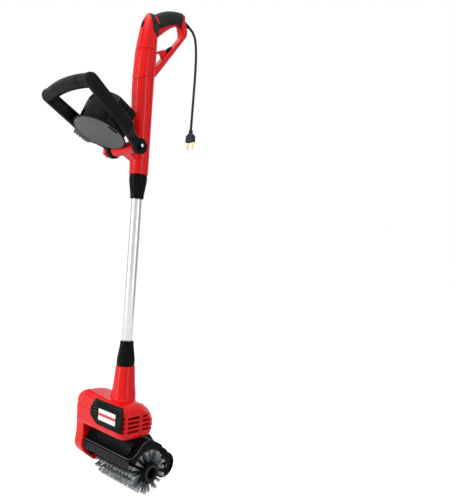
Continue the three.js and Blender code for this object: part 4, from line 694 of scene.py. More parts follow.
def wells(made, places, toward, radius_mm, depth_mm):
    """Sinks a round well at each place, looked for along a direction; returns where their screws stand."""
    bpy.context.view_layer.update()
    toward = Vector(toward)
    floors, tools = [], []
    for place in places:
        start = Vector(place) - toward * 200
        found = made.ray_cast(Vector(row(*start)), toward)[1]
        skin = Vector((found.x * 1000, found.y * 1000 + grip_back, found.z * 1000 + grip_height))
        end = skin + toward * depth_mm
        tools.append(rod_between("well", skin - toward * 12, end, radius_mm + 0.5, count=32))
        floors.append(tuple(end - toward * radius_mm * 0.25))
    carved(made, tools, angle=36)
    return floors


def screws(name, places, facing, radius_mm, body):
    """A set of screws on one body, as one plain mesh."""
    made = meshed(name, [row(*p) for p in places], [])
    grown(made, screw_tree, screw_keys, zinc_steel, Radius=radius_mm / 1000, Height=radius_mm * 0.6 / 1000,
          Facing=facing)
    dress(shaded(made, 35), body, "steel")


# Soft grip: a dark TPE sleeve moulded over the D-handle's bar and the back of the column's top. Its
# stippled skin gives it a dry look.
soft_tpe = moulded("stippled_soft_tpe", "#242b2c", "#1c2223", roughness=0.66, spread=0.08, grain=(1.2, 0.22),
                   specular=0.14, mottle=0.5)
grip_sleeve = shaped("soft_grip_sleeve", *skinned(bar_rings(0.994, 64)), soft_tpe)
sleeve_front = shaped("sleeve_front", *skinned(column_rings(1.3, 4)), soft_tpe)
front_reach = rounded([(-9, 1120), (40, 1120), (40, 1051), (16, 1038), (0, 1049)], 8)
carved(sleeve_front, [tool(slab_x(front_reach, -40, 40))], "INTERSECT")
carved(grip_sleeve, [sleeve_front], "UNION")
carved(grip_sleeve, [
    # The hard bar and the column inside it, its rear end, and what moves in it
    tool(skinned(bar_rings(0.64, 48))),
    tool(skinned(column_rings(0.4, 3))),
    tool(box(-30, 30, 0.8 * loop_reach - 0.3, 240, 900, 1300)),
    *trigger_room(),
    tool(lock_slab(0.7, 1, 40)),
])
softened(grip_sleeve, 0.7, 42, 2)
dress(grip_sleeve, "upper_unit", "soft_grip", "grip_overmould")

# Trigger and lock-off button: red ABS like the column, each one moulded piece. The paddle turns on
# its pin under the bar, and the button is pressed into the side of the grip.
paddle = shaped("trigger_paddle", *slab_x(rounded(in_loop(trigger_shares), 3.5), -trigger_half, trigger_half),
                red_abs)
softened(paddle, 1.6)
paddle_pin = shaped("trigger_pin", *rod_x(2.5, -10.4, 10.4, *trigger_pin, 32), red_abs)
dress(paddle, "trigger", "red_plastic", "trigger")
dress(paddle_pin, "trigger", "red_plastic")
lock_bean = softened(shaped("lock_off_button", *lock_slab(0, 5.2, 20), red_abs), 1.1)
dress(lock_bean, "lock_button", "red_plastic", "lock_button")

# Plug in the column's front: a small oval cap of black PP, moulded with a fine grain and pressed into
# an opening above the two front seams.
black_pp = moulded("grained_black_pp", "#070808", "#0e0f0f", roughness=0.36, spread=0.09, grain=(1.6, 0.12),
                   specular=0.05, mottle=0.5)
inset_plug = softened(shaped("front_plug", *inset_slab(0, -19.6, -12.5), black_pp), 0.9)
dress(inset_plug, "upper_unit", "black_plastic", "front_inset")

# Cord hook with a black pad: a hook of red ABS on the strut, and a pad of black rubber beside its
# tip, whose black is painted shade of the gap there. A loop of the extension lead is pushed through and hangs
# on it.
strut_foot, strut_top = (Vector(p) for p in in_loop([(0.21, 0.176), (0.876, 0.716)]))


def on_strut(pairs):
    """Outline points from shares of the strut's length, along it and away from it."""
    run = strut_top - strut_foot
    away = Vector((-run.y, run.x)).normalized()
    return [tuple(strut_foot + run * along + away * (off * run.length + 0.2)) for along, off in pairs]


hook_outline = rounded(on_strut([(0.27, 0), (0.29, 0.03), (0.31, 0.1), (0.2, 0.128), (0.2, 0.158),
                                 (0.27, 0.152), (0.42, 0.09), (0.43, 0.045), (0.445, 0)]), 2.2)
hook_half = 4.5
hook = softened(shaped("cord_hook_moulding", *slab_x(hook_outline, -hook_half, hook_half), red_abs), 1.0)
dress(hook, "upper_unit", "red_plastic", "cord_hook")
soft_rubber = moulded("moulded_black_rubber", "#0e0e0f", "#151515", roughness=0.62, spread=0.08,
                      grain=(1.3, 0.16), specular=0.12, mottle=0.4)
shade_pad_outline = rounded(on_strut([(0.458, 0), (0.443, 0.045), (0.47, 0.047), (0.6, 0.034), (0.645, 0)]), 1.6)
hook_shade_pad = softened(shaped("hook_shade_pad_moulding", *slab_x(shade_pad_outline, -hook_half, hook_half), soft_rubber), 0.9)
dress(hook_shade_pad, "upper_unit", "rubber", "hook_pad")

# Strain relief: a tapered boot of black rubber, moulded with rings and held by its root in the rear
# post, so that the flex bends slowly where it leaves.
boot_radius, boot_foot, boot_collar, boot_rings, ring_pitch, boot_taper = 5.4, -6.5, 4.3, 6, 3.3, 1.1
boot_profile = [(0, boot_foot), (boot_radius, boot_foot), (boot_radius, boot_collar)]
for i in range(boot_rings):
    start = boot_collar + 0.9 + i * ring_pitch
    size = boot_radius - boot_taper * (start - boot_collar) / (boot_reach - boot_collar)
    boot_profile += [(size - 0.9, start), (size - 0.9, start + 0.9), (size - 0.1, start + 1.2),
                     (size - 0.15, start + 2.9)]
boot_profile += [(boot_radius - boot_taper, boot_reach - 1), (4.1, boot_reach), (0, boot_reach)]
strain_boot = turned("strain_relief_boot", boot_profile, boot_origin, boot_axis, soft_rubber, 40, 50)
dress(strain_boot, "upper_unit", "rubber", "cord_boot")
screw_radius, column_well = 3.4, 2.6
column_spots = wells(upper_halves[0],
                     [(0, -1, 735), (0, -2.5, 800), (0, -3.5, 880), (0, -2, 960), (0, 88, 1035)],
                     (1, 0, 0), screw_radius, column_well)
screws("column_screws", column_spots, (0, -math.pi / 2, 0), screw_radius, "upper_unit")

# Twist-lock collars: black PP nuts with shallow finger flutes; turning one clamps a split ring of
# white POM on the tube. The thin end of the upper one is down, and that of the lower one up.
collar_profile = smooth_line([(0, 0), (0.15, 0.04), (0.45, 0.5), (0.8, 1), (1, 0.9)], 6)
collar_length, thin_radius, widening_mm, flutes, flute_depth = 58, 16.6, 5.4, 14, 1.0


def collar_rings(foot, direction):
    """Fluted rings from the thin end to the wide end, with a smooth lip at each end."""
    rings = []
    for share, widening in collar_profile:
        radius = thin_radius + widening_mm * min(widening, 1)
        depth = flute_depth * max(0, min(1, 6 * (share - 0.1))) * max(0, min(1, 9 * (0.93 - share)))
        lip = 0.5 * max(0, 1 - abs(share - 0.96) / 0.03) if share > 0.9 else 0
        ring = []
        for i, (c, s) in enumerate(circle(flutes * 8)):
            flute = max(0, math.cos(flutes * (2 * math.pi * i / (flutes * 8)))) ** 1.5
            r = radius - depth * flute - 0.25 - lip
            ring.append((r * c, r * s, foot + direction * share * collar_length))
        rings.append(ring)
    return rings


for collar_name, node_name, foot, direction in (("upper_twist_collar", "upper_collar", 635.7, 1),
                                                 ("lower_twist_collar", "lower_collar", 290.3, -1)):
    twist = shaped(collar_name, *skinned(collar_rings(foot, direction)), black_pp, 40)
    inside = [(0, -2), (13.0, -2), (13.0, 15.1), (15, 15.1), (17.1, 29), (17.1, 60), (0, 60)]
    carved(twist, [turned("collar_tool", inside, (0, 0, foot), (0, 0, direction), count=48)])
    softened(twist, 0.5, 50, 2)
    dress(twist, node_name, "black_plastic", node_name)

# Main tube: drawn aluminium, satin anodised, with its edges broken. Drawing leaves faint lines along
# it. It slides in the column, and the twist-lock collars clamp it.
anodised = steel_finish("satin_anodised_aluminium", "#c5c9c5", roughness=0.3, lines=(0.9, 0.006),
                        stretch=(1, 1, 0.02))
tube_foot, tube_end, tube_bore, tube_edge = 190, 766, 11.1, 0.4
tube_profile = [
    (tube_bore, tube_foot + 0.5), (tube_bore + tube_edge, tube_foot), (tube_radius - tube_edge, tube_foot),
    (tube_radius, tube_foot + 0.5), (tube_radius, tube_end - 0.5), (tube_radius - tube_edge, tube_end),
    (tube_bore + tube_edge, tube_end), (tube_bore, tube_end - 0.5)]
long_tube = turned("aluminium_tube", tube_profile, (0, 0, 0), (0, 0, 1), anodised, 72, 50)
dress(long_tube, "tube_and_head", "tube_aluminium", "main_tube")


# Front handle: a bail of two black glass-filled PP arms and a grip bar, clamped on the pivot
# barrel by a bolt. Its arms splay out to the bar and carry the fixed pod between them.
arm_tilt = math.radians(31.3)
arm_length, arm_eye_inner, arm_grip_inner, arm_thickness, arm_half_height = 185, 44, 80, 14, 16.5
arm_splay, arm_gap, eye_radius, bolt_hole, pocket_half = 0.33 / 0.45, 0.2, 18.8, 4.4, 10.5
arm_voxel = 1.0


def on_arm(points):
    """Points of width, reach along the arms and height off their plane, put where the handle stands."""
    return [(x, -hub_depth - u * math.cos(arm_tilt) + w * math.sin(arm_tilt),
             hub_height + u * math.sin(arm_tilt) + w * math.cos(arm_tilt)) for x, u, w in points]


def arm_skinned(rings):
    """Points and faces of a skin over rings in the arms' own frame."""
    points, faces = skinned(rings)
    return on_arm(points), faces


def arm_inner(out):
    """Half the width between the arms, from the share of their splay."""
    return arm_eye_inner + out * (arm_grip_inner - arm_eye_inner)


arm_shares = smooth_line([
    (0.05, 0, 0.72, 1), (0.13, 0.05, 0.7, 1), (0.21, 0.26, 0.82, 1), (0.29, 0.48, 1, 1), (0.4, 0.57, 1, 1),
    (0.62, 0.73, 0.98, 1), (0.85, 0.9, 0.95, 1), (1, 1, 0.93, 0.98), (1.045, 0.98, 0.8, 0.92),
    (1.075, 0.93, 0.52, 0.8), (1.088, 0.88, 0.2, 0.6),
], 5)
glass_filled_pp = moulded("glass_filled_black_pp", "#0c0d0d", "#141515", roughness=0.42, spread=0.08,
                          grain=(1.3, 0.16), specular=0.08, mottle=0.6)
for side, arm_name, node_name in ((1, "bail_arm_near", "front_arm_near"),
                                  (-1, "bail_arm_far", "front_arm_far")):
    strap = []
    for along, out, tall, thick in arm_shares:
        centre = arm_inner(out) + arm_thickness / 2
        strap.append([(side * (centre + a * thick * arm_thickness / 2), along * arm_length,
                       b * tall * arm_half_height) for a, b in oval(5, 40)])
    inner, outer = sorted((side * (arm_eye_inner + arm_gap), side * (arm_eye_inner + arm_thickness - arm_gap)))
    eye = shaped("eye", *rod_x(eye_radius, inner, outer, *bolt_line, 64), glass_filled_pp)
    arm = fused(arm_name, [shaped("strap", *arm_skinned(strap), glass_filled_pp), softened(eye, 1.5)],
                glass_filled_pp, arm_voxel, 3)
    # The bolt's head sits in a counterbore of the eye, and the inner faces have hollows to save plastic
    face = side * (arm_eye_inner + arm_thickness)
    tools = [tool(rod_x(bolt_hole, -90, 90, *bolt_line, 32)),
             tool(rod_x(10.5, *sorted((face - side * 2.5, face + side * 6)), *bolt_line, 40))]
    for start, end in ((0.47, 0.56), (0.58, 0.67), (0.69, 0.78), (0.80, 0.89)):
        pocket = []
        for along in (start, end):
            inner_face = arm_inner(0.57 + (along - 0.4) * arm_splay)
            pocket.append([(side * x, along * arm_length, w) for x, w in (
                (inner_face - 3, -pocket_half), (inner_face + 3.5, -pocket_half),
                (inner_face + 3.5, pocket_half), (inner_face - 3, pocket_half))])
        tools.append(tool(arm_skinned(pocket)))
    carved(arm, tools)
    dress(arm, "front_handle", "black_plastic", node_name)

# Grip bar: the same black glass-filled PP between the ends of the arms, bowed away from the user. It
# is two half shells with a sleeve in the middle, and fine seams ring it.
bar_radius, bar_bow, seam_dip = 14.5, 9, 1.1
bar_half = arm_grip_inner + arm_thickness * 0.2
seam_places = (53, 60)


def bar_centre(x):
    """How far out along the arms the bowed bar's centre lies."""
    return arm_length + bar_bow * (1 - (x / bar_half) ** 2)


bar_places = sorted([-bar_half + i * 2 * bar_half / 60 for i in range(61)] + [
    place + d for place in seam_places for d in (-seam_dip, -seam_dip / 2, seam_dip / 2, seam_dip)])
bar_skin = []
for x in bar_places:
    radius = bar_radius - (seam_dip if any(abs(x - place) < 0.7 for place in seam_places) else 0)
    bar_skin.append([(x, bar_centre(x) + a * radius, b * radius) for a, b in oval(2.25, 56)])
hand_bar = shaped("front_grip_bar", *arm_skinned(bar_skin), glass_filled_pp, 30)
bar_slots = []
for slot_x in (-22, 62):
    corners = [(bar_centre(slot_x) + u, w) for u, w in ((-5.5, -16), (-16, -16), (-16, -5.5), (-8, -8))]
    bar_slots.append(tool(arm_skinned([[(slot_x + dx, u, w) for u, w in corners] for dx in (-5, 5)])))
carved(hand_bar, bar_slots, angle=30)
dress(hand_bar, "front_handle", "black_plastic", "front_grip")

# Pod: a domed drum of black glass-filled PP that the wings hold between the arms. A flat grey cover
# closes it below.
pod_along, pod_lean, pod_below, pod_radius, pod_height = 78.3, math.radians(9.3), 21.2, 54, 86


def on_pod(solid):
    """A solid in the drum's own frame, with the third value along its axis, put where the pod stands."""
    points, faces = solid
    return on_arm([(x, u * math.cos(pod_lean) + w * math.sin(pod_lean) + pod_along,
                    -u * math.sin(pod_lean) + w * math.cos(pod_lean)) for x, u, w in points]), faces


def pod_turned(profile):
    """A solid turned round the drum's axis, from pairs of radius and height over its foot."""
    return on_pod(skinned([[(r * c, r * s, w - pod_below) for c, s in circle(96)] for r, w in profile]))


# Its back is rounded off further down than its front, so that it swings clear of the column
front_profile = smooth_line([(1, 0.04), (1, 0.45), (0.992, 0.62), (0.965, 0.76), (0.89, 0.88), (0.77, 0.96),
                             (0.5, 1.0), (0.02, 1.0)], 6)
back_profile = smooth_line([(1, 0.04), (1, 0.25), (0.96, 0.52), (0.86, 0.77), (0.7, 0.93), (0.5, 0.99),
                            (0.3, 1.0), (0.02, 1.0)], 6)
drum_foot = [(52.0, 0.3), (53.6, 0.5), (54, 2)]
drum_rings = [[(r * c, r * s, w - pod_below) for c, s in circle(96)] for r, w in drum_foot]
for (front_r, front_w), (back_r, back_w) in zip(front_profile, back_profile):
    ring = []
    for c, s in circle(96):
        back = min(1, max(0, 0.35 - s) * 1.6)
        back = back * back * (3 - 2 * back)
        r = (front_r * (1 - back) + back_r * back) * pod_radius
        ring.append((r * c, r * s, -pod_below + 0.3 + (front_w * (1 - back) + back_w * back) * pod_height))
    drum_rings.append(ring)
drum = shaped("pod_drum", *on_pod(skinned(drum_rings)), glass_filled_pp, 32)
window_shares = [(0.3, -0.97), (0.7, -0.72), (0.95, -0.3), (1, 0), (0.95, 0.3), (0.7, 0.72), (0.3, 0.97)]
window_rings = [[(2 + 12 * c * share, 52.5 + 5 * s * share, 36 + 7.5 * rise) for c, s in circle(24)]
                for share, rise in window_shares]
# A slot low in the drum's front wall, and an oval hollow above it
carved(drum, [tool(on_pod(box(-19, 6, 46, 60, -15, 4))), tool(on_pod(skinned(window_rings)))])
softened(drum, 0.8, 45, 2)
dress(drum, "front_handle", "black_plastic", "pod_housing")

# Cover: a flat disc of moulded grey ABS with a spark-eroded satin face, a chamfered rim and a finger
# notch. A latch at its edge holds it.
spark_grey = moulded("spark_eroded_grey_abs", "#5e6161", "#555858", roughness=0.55, spread=0.06,
                     grain=(1.3, 0.15), specular=0.3, mottle=0.6)
cover_radius, cover_rim_radius = 59, 61.5
cover = shaped("pod_cover_disc",
               *pod_turned([(58.0, -3), (58.7, -2.7), (cover_radius, -2.2), (cover_radius, 0)]),
               spark_grey, 32)
notch_out, notch_half, notch_reach = cover_rim_radius * 0.855, 5, 12.5
notch = box(notch_out - notch_half, notch_out + notch_half, -notch_reach, notch_reach, -40, -15)
carved(cover, [tool(on_pod(notch))])
dress(cover, "front_handle", "grey_plastic", "pod_cover")
# A ring of black rubber round the cover's edge and a black rubber pad on the notch's floor are painted shade of
# the gap at the rim and of the notch's hollow
notch_shadow_pad = shaped("notch_shadow_pad", *on_pod(box(
    notch_out - notch_half + 0.1, notch_out + notch_half - 0.1, -notch_reach + 0.1, notch_reach - 0.1,
    -pod_below - 0.9, -pod_below - 0.1)), soft_rubber)
cover_shadow_ring = shaped("cover_rim_shadow_ring", *pod_turned([(50, -2.4), (cover_rim_radius - 0.3, -2.4), (cover_rim_radius, -2.1),
                                             (cover_rim_radius, 0)]), soft_rubber, 32)
carved(cover_shadow_ring, [tool(pod_turned([(cover_radius + 0.1, -6), (cover_radius + 0.1, 6)]))])
dress(notch_shadow_pad, "front_handle", "rubber")
dress(cover_shadow_ring, "front_handle", "rubber")

# Latch: a slide of the same grey ABS beside the cover, on the far side. The grooves moulded across it
# give a thumb its hold.
latch_reach = 79
latch_shares = [(0.6, 0.45), (0.98, 0.28), (1, -0.22), (0.78, -0.3), (0.6, -0.3)]
latch_outline = rounded([(-latch_reach * x, latch_reach * u) for x, u in latch_shares], 3)
latch = shaped("cover_latch_slide", *on_pod(skinned(
    [[(x, u, w) for x, u in latch_outline] for w in (-pod_below - 2.9, -pod_below)])), spark_grey)
latch_grooves, latch_pitch, latch_groove_half = 6, 7.6, 1.6
latch_tools = [tool(pod_turned([(cover_rim_radius + 0.3, -6), (cover_rim_radius + 0.3, 6)]))]
for i in range(latch_grooves):
    u = -15 + i * latch_pitch
    latch_tools.append(tool(on_pod(box(-85, -63.5, u - latch_groove_half, u + latch_groove_half,
                                       -pod_below - 8, -pod_below - 0.7))))
carved(latch, latch_tools)
dress(latch, "front_handle", "grey_plastic", "cover_latch")

# Wings: blocks of the same black glass-filled PP between the drum and the arms, which brace the pod.
# Grooves leave ribs on their tops and sides.
wing_start, wing_end, wing_top, wing_grooves, wing_groove_half = -31, 24, 43.9, 9, 1.1
beside_arm = [(along * arm_length, arm_inner(out) - 0.4) for along, out in (
    (0.18, 0.19), (0.21, 0.26), (0.29, 0.48), (0.4, 0.57), (0.62, 0.57 + 0.22 * arm_splay),
    (0.85, 0.57 + 0.45 * arm_splay), (0.95, 0.57 + 0.55 * arm_splay))]
for side, wing_name, node_name in ((1, "wing_near", "side_wing_near"), (-1, "wing_far", "side_wing_far")):
    wing = shaped(wing_name, *on_pod(box(*sorted((side * 40, side * 90)), wing_start + 0.1, wing_end - 0.1,
                                         -pod_below + 0.4, wing_top)), glass_filled_pp)
    arm_room = [(side * x, u) for u, x in beside_arm]
    arm_room += [(side * 300, beside_arm[-1][0]), (side * 300, beside_arm[0][0])]
    if side > 0:
        arm_room.reverse()
    tools = [tool(arm_skinned([[(x, u, w) for x, u in arm_room] for w in (-150, 150)])),
             tool(pod_turned([(pod_radius + 0.4, -60 + pod_below), (pod_radius + 0.4, 80 + pod_below)]))]
    for i in range(wing_grooves):
        u = wing_start + (i + 0.5) * (wing_end - wing_start) / wing_grooves
        u0, u1 = u - wing_groove_half, u + wing_groove_half
        tools.append(tool(on_pod(box(*sorted((side * 30, side * 95)), u0, u1, wing_top - 1.8, wing_top + 9))))
        if i % 2 == 0:
            tools.append(tool(on_pod(box(*sorted((side * 57.5, side * 95)), u0, u1, wing_top - 34,
                                         wing_top - 8))))
    carved(wing, tools)
    softened(wing, 0.5, 45, 2)
    dress(wing, "front_handle", "black_plastic", node_name)

# Pivot bolt: a zinc-plated bolt through the barrel and both arms, with its head in a black cap. The
# lobed knob of red ABS on its far end clamps the handle.
cap_start, cap_height, shank_start = arm_eye_inner + arm_thickness + 0.3, 4.9, -71.5
shank_end = cap_start + cap_height - shank_start
bolt_cap = turned("bolt_cap", [(4.2, 0), (7.9, 0), (7.9, 3.2), (7.0, 4.6), (4.2, cap_height)],
                  (cap_start, *bolt_line), (1, 0, 0), black_pp, 40)
bolt_shank = turned("pivot_bolt_shank",
                    [(0, 0), (4, 0), (4, shank_end), (3.4, shank_end + 0.3), (0, shank_end + 0.3)],
                    (shank_start, *bolt_line), (1, 0, 0), zinc_steel, 32)
dress(bolt_cap, "upper_unit", "black_plastic")
dress(bolt_shank, "upper_unit", "steel", "pivot_bolt")
knob_radius, knob_length, knob_lobes, lobe_depth = 14.0, 20, 6, 1.8
knob_profile = smooth_line([(0.8, 0.0), (0.84, 0.2), (0.88, 0.34), (1, 0.45), (1, 0.7), (0.995, 0.9),
                            (0.93, 0.97), (0.78, 1.0)], 4)
knob_rings = []
for share, along in knob_profile:
    ring = []
    for i, (c, s) in enumerate(circle(96)):
        wave = 0.5 + 0.5 * math.cos(knob_lobes * (2 * math.pi * i / 96))
        r = share * (knob_radius - lobe_depth * wave ** 0.8)
        ring.append((-cap_start - along * knob_length, -hub_depth + r * c, hub_height + r * s))
    knob_rings.append(ring)
knob = shaped("clamp_knob_moulding", *skinned(knob_rings), red_abs, 50)
carved(knob, [tool(rod_x(4.3, -cap_start - 14.3, 0, *bolt_line, 32))])
softened(knob, 0.5, 50, 2)
dress(knob, "clamp_knob", "red_plastic", "clamp_knob")


# Motor housing: two halves of the same red ABS, parted across the tool, that hold the motor, form
# the neck up to the lower collar, and reach down at the far end as a leg round the gears.
housing_front, housing_top, housing_bottom, housing_far, housing_near = 52, 162, 78, 119, 73
housing_height = housing_top - housing_bottom
motor_height, brush_back, leg_below = 114, 21, 18
housing_section = [(-1, 0.16), (-1, 0.5), (-1, 0.84), (-0.93, 0.95), (-0.78, 1), (-0.4, 1), (0, 0.985),
                   (0.4, 0.92), (0.75, 0.76), (0.95, 0.54), (0.97, 0.3), (0.85, 0.1), (0.6, 0), (0, 0),
                   (-0.6, 0), (-0.9, 0.03)]
housing_loop = smooth_line(housing_section[-1:] + housing_section + housing_section[:2], 6)[6:-7]
housing_stations = smooth_line([
    (-1, 0.9, 0.68, 0), (-0.98, 0.97, 0.79, 0), (-0.92, 1, 0.9, 0), (-0.83, 1, 0.965, 0), (-0.7, 1, 1, 0),
    (-0.35, 1, 0.955, 0), (0, 1, 0.925, 0), (0.5, 1, 0.91, 0), (0.7, 0.97, 0.88, 0), (0.86, 0.88, 0.81, 0),
    (0.95, 0.77, 0.74, 0.01), (0.985, 0.68, 0.69, 0.03), (1, 0.58, 0.63, 0.06),
], 4)
housing_rings = []
for along, deep, tall, lift in housing_stations:
    along = max(-1, min(1, along))
    x = along * (housing_far if along < 0 else housing_near)
    back = -0.12 * housing_front * (along - 0.5) if along > 0.5 else 0
    housing_rings.append([(x, back + max(-1, y) * deep * housing_front,
                           housing_bottom + (lift + max(0, min(1, z)) * tall) * housing_height)
                          for y, z in housing_loop])
neck_top = 232
neck_rise = neck_top - housing_top
neck_rings = upright(smooth_line([
    (128, 30.8, 30.2, 0), (housing_top, 28.9, 28.1, 0), (housing_top + neck_rise * 0.25, 26.4, 26.4, 0),
    (housing_top + neck_rise * 0.65, 24, 24, 0), (neck_top, 22, 22, 0)], 5), 2.2, 64)


def leg_outline(inset):
    """The gear leg's outline in depth and height round the brush axle."""
    front, low, rear = -housing_front + inset, -leg_below + inset, brush_back + 1.35 * leg_below - inset
    return rounded([
        (front, housing_top * 0.8 - inset), (front + 3.6, housing_bottom * 0.75),
        (front, 1.5 * leg_below + inset * 0.4), (front * 0.84, 0.6 * leg_below + inset * 0.2),
        (-leg_below / 2 + inset * 0.5, low), (brush_back + leg_below / 2, low), (rear, 0),
        (rear, housing_bottom * 0.6), (housing_front * 0.9 - inset, housing_top * 0.8 - inset)], 9)


leg_inner, head_voxel = -86, 1.2
head_blank = fused("head_body", [
    shaped("housing_blank", *skinned(housing_rings), red_abs),
    shaped("neck_blank", *skinned(neck_rings), red_abs),
    softened(shaped("leg_blank", *slab_x(leg_outline(0.2), -housing_far, leg_inner), red_abs), 3, 50, 4),
    rod_between("neck_spigot", (0, 0, 205), (0, 0, 258), spigot_radius, red_abs),
], red_abs, head_voxel, 5)


panel_top, panel_foot, panel_near, panel_tip = 153, 95.5, 70, 116.28


def panel_outline(grow):
    """The front panel: straight at the near end, pointed towards the far end."""
    top, foot, near, far = panel_top + grow, panel_foot - grow, panel_near + grow, -56 - grow
    return rounded([(-38, top), (near, top), (near, foot), (-28.5, foot), (far, panel_tip - 4),
                    (far, panel_tip + 12)], 5)


def slab_y(outline, y0, y1):
    """Points and faces of an outline of width and height, drawn out along Y."""
    return skinned([[(x, y0, z) for x, z in outline], [(x, y1, z) for x, z in outline]])


head_tools = [
    # The tube's seat and the panel's bed; the rooms of the motor, of its near end, of its shaft and of
    # its far bearing; the leg's room for the gears, and the seat of the output bearing
    rod_between("tube_tool", (0, 0, 189.7), (0, 0, 270), tube_radius + 0.35),
    tool(slab_y(panel_outline(0.35), -60, -housing_front + 3.05)),
    tool(rod_x(32, -71.5, 44, 0, motor_height, 72)),
    tool(rod_x(20, 40, 62.5, 0, motor_height, 56)),
    tool(rod_x(4.6, -94, 66, 0, motor_height, 32)),
    tool(rod_x(11.3, -78.8, -68, 0, motor_height, 40)),
    tool(slab_x(leg_outline(4), -123, -90)),
    tool(rod_x(13.3, -94, -82, brush_back, 0, 40)),
]
# Cooling slots: four short ones wrap each side of the near end, with a rib between the two groups
vent_count, vent_foot, vent_pitch, vent_height = 4, 93.5, 10, 6.6
for i in range(vent_count):
    z0 = vent_foot + i * vent_pitch
    z1 = z0 + vent_height
    for y0, y1, x0 in ((-60, -42.5, 58), (-37, -4, 46), (4, 60, 46)):
        head_tools.append(tool(slab_x(rounded([(y0, z0), (y1, z0), (y1, z1), (y0, z1)], 2.2), x0, 90)))
carved(head_blank, head_tools, angle=36)
# The moulding seam of the leg and of the shoulder, two shallow lines round the far end
seam_tools = []
for seam_z in (121, 60):
    seam_outer = tool(box(-130, -60, -70, 70, seam_z - 0.45, seam_z + 0.45))
    seam_floor = [(-housing_far + 0.7, -housing_front + 3), (-housing_far + 3.5, -housing_front + 0.6),
                  (-50, -housing_front + 0.6), (-50, housing_front), (-housing_far + 0.7, housing_front)]
    seam_inner_points = [[(x, y * (1 - 0.8 / housing_front), seam_z + dz) for x, y in seam_floor]
                         for dz in (-2, 2)]
    carved(seam_outer, [tool(skinned(seam_inner_points))])
    seam_tools.append(seam_outer)
middle_z = (housing_top + housing_bottom) / 2
near_floor = [[(x * 0.98, y, middle_z + (z - middle_z) * 0.975) for x, y, z in ring] for ring in housing_rings]
near_seam = tool(box(30, 90, -0.8, 0.8, 70, 170))
carved(near_seam, [tool(skinned(near_floor))])
seam_tools.append(near_seam)
carved(head_blank, seam_tools, angle=36)
for side, half_name, node_name in ((-1, "housing_half_front", "housing_front"),
                                   (1, "housing_half_rear", "housing_rear")):
    half = copied(head_blank, half_name)
    carved(half, [tool(box(-300, 300, *sorted((side * 0.3, side * 200)), -100, 400))], "INTERSECT", angle=36)
    dress(half, "tube_and_head", "red_plastic", node_name)
bpy.data.objects.remove(head_blank)
housing_well = 3.5
housing_spots = wells(half, [(-100, 0, 92), (50, 0, 92), (-60, 0, 145), (38, 0, 142)], (0, -1, 0), screw_radius,
                      housing_well)
screws("housing_screws", housing_spots, (-math.pi / 2, 0, 0), screw_radius, "tube_and_head")

# Gear cover: a moulded lid of the same red ABS, let into the outer side of the leg and held by five
# screws round the gears.
lid = softened(shaped("gear_leg_lid", *slab_x(leg_outline(4.4), -housing_far + 0.1, -housing_far + 4), red_abs),
               1.0)
dress(lid, "tube_and_head", "red_plastic", "gear_cover")
lid_face, lid_screw_radius = -118.0, 3.0
screws("lid_screws", [(lid_face, y, z) for y, z in ((-38, 118), (33, 112), (-35, 34), (34, 16), (2, -8))],
       (0, -math.pi / 2, 0), lid_screw_radius, "tube_and_head")

# Front panel: black ABS bezel with a raised rim, slanted grip slots at its far end, and a bare
# white plate that carries only a plain red band
# Black PP in a lighter grey: a painted highlight for narrow polished edges
painted_highlight_pp = moulded("black_pp_painted_highlight", "#3a3c3d", "#343637", roughness=0.2, spread=0.04,
                        grain=(3.0, 0.02), specular=0.5, mottle=0.3)
bezel = shaped("front_bezel", *slab_y(panel_outline(-0.1), -housing_front - 1, -housing_front + 2.7), black_pp)
softened(bezel, 1.0)
bezel_tools = [tool(box(-20.4, 46.4, -60, -52.3, 107.6, 134.4))]
strokes = []
stroke_count, stroke_pitch, stroke_lean = 5, 54 / 7, math.tan(0.4)
for i in range(stroke_count):
    z = 99 + (i + 1.4) * stroke_pitch
    slot_end, edge_end = z + 14.5 * stroke_lean, z + 13.5 * stroke_lean
    slot = [(-47, z), (-32.5, slot_end), (-32.5, slot_end + 2.6), (-47, z + 2.6)]
    edge = [(-46.5, z + 2.8), (-33, edge_end + 2.8), (-33, edge_end + 3.9), (-46.5, z + 3.9)]
    bezel_tools.append(tool(slab_y(slot, -56, -51.2)))
    # Beside each slot a thin raised edge, its lighter grey a painted highlight
    stroke = shaped(f"grip_stroke_{i}", *slab_y(edge, -53.6, -52.2), painted_highlight_pp)
    strokes.append(softened(stroke, 0.4, 50, 2))
panel_field = rounded([(-27, 150), (67, 150), (67, 137.5), (-27, 137.5)], 2)
bezel_tools.append(tool(slab_y(panel_field, -56, -52.55)))
carved(bezel, bezel_tools)
softened(bezel, 0.35, 50, 2)
dress(bezel, "tube_and_head", "black_plastic", "panel_bezel")
for stroke in strokes:
    dress(stroke, "tube_and_head", "black_plastic")
# Printed plate: a white polycarbonate film with a clear gloss; the band is a plain stripe
plate_film = bpy.data.materials.new("printed_polycarbonate_film")
film_tree = emptied(plate_film)
band_low, band_high = -0.9897, -0.9832
film_place = add(film_tree, "ShaderNodeTexCoord").outputs["Object"]
film_parts = add(film_tree, "ShaderNodeSeparateXYZ", {0: film_place}).outputs
film_high = add(film_tree, "ShaderNodeMath", {0: film_parts["Z"], 1: band_high}, operation="LESS_THAN")
film_low = add(film_tree, "ShaderNodeMath", {0: film_parts["Z"], 1: band_low}, operation="GREATER_THAN")
film_band = add(film_tree, "ShaderNodeMath", {0: film_high, 1: film_low}, operation="MULTIPLY")
film_tone = add(film_tree, "ShaderNodeTexNoise", {"Vector": film_place, "Scale": 1000 / 20, "Detail": 3.0})
film_rough = add(film_tree, "ShaderNodeMapRange", {"Value": film_tone, "To Min": 0.2, "To Max": 0.36})
film_colour = add(film_tree, "ShaderNodeMix", {0: film_band, 6: linear("#f3f3f1"), 7: linear("#d6232b")},
                  data_type="RGBA")
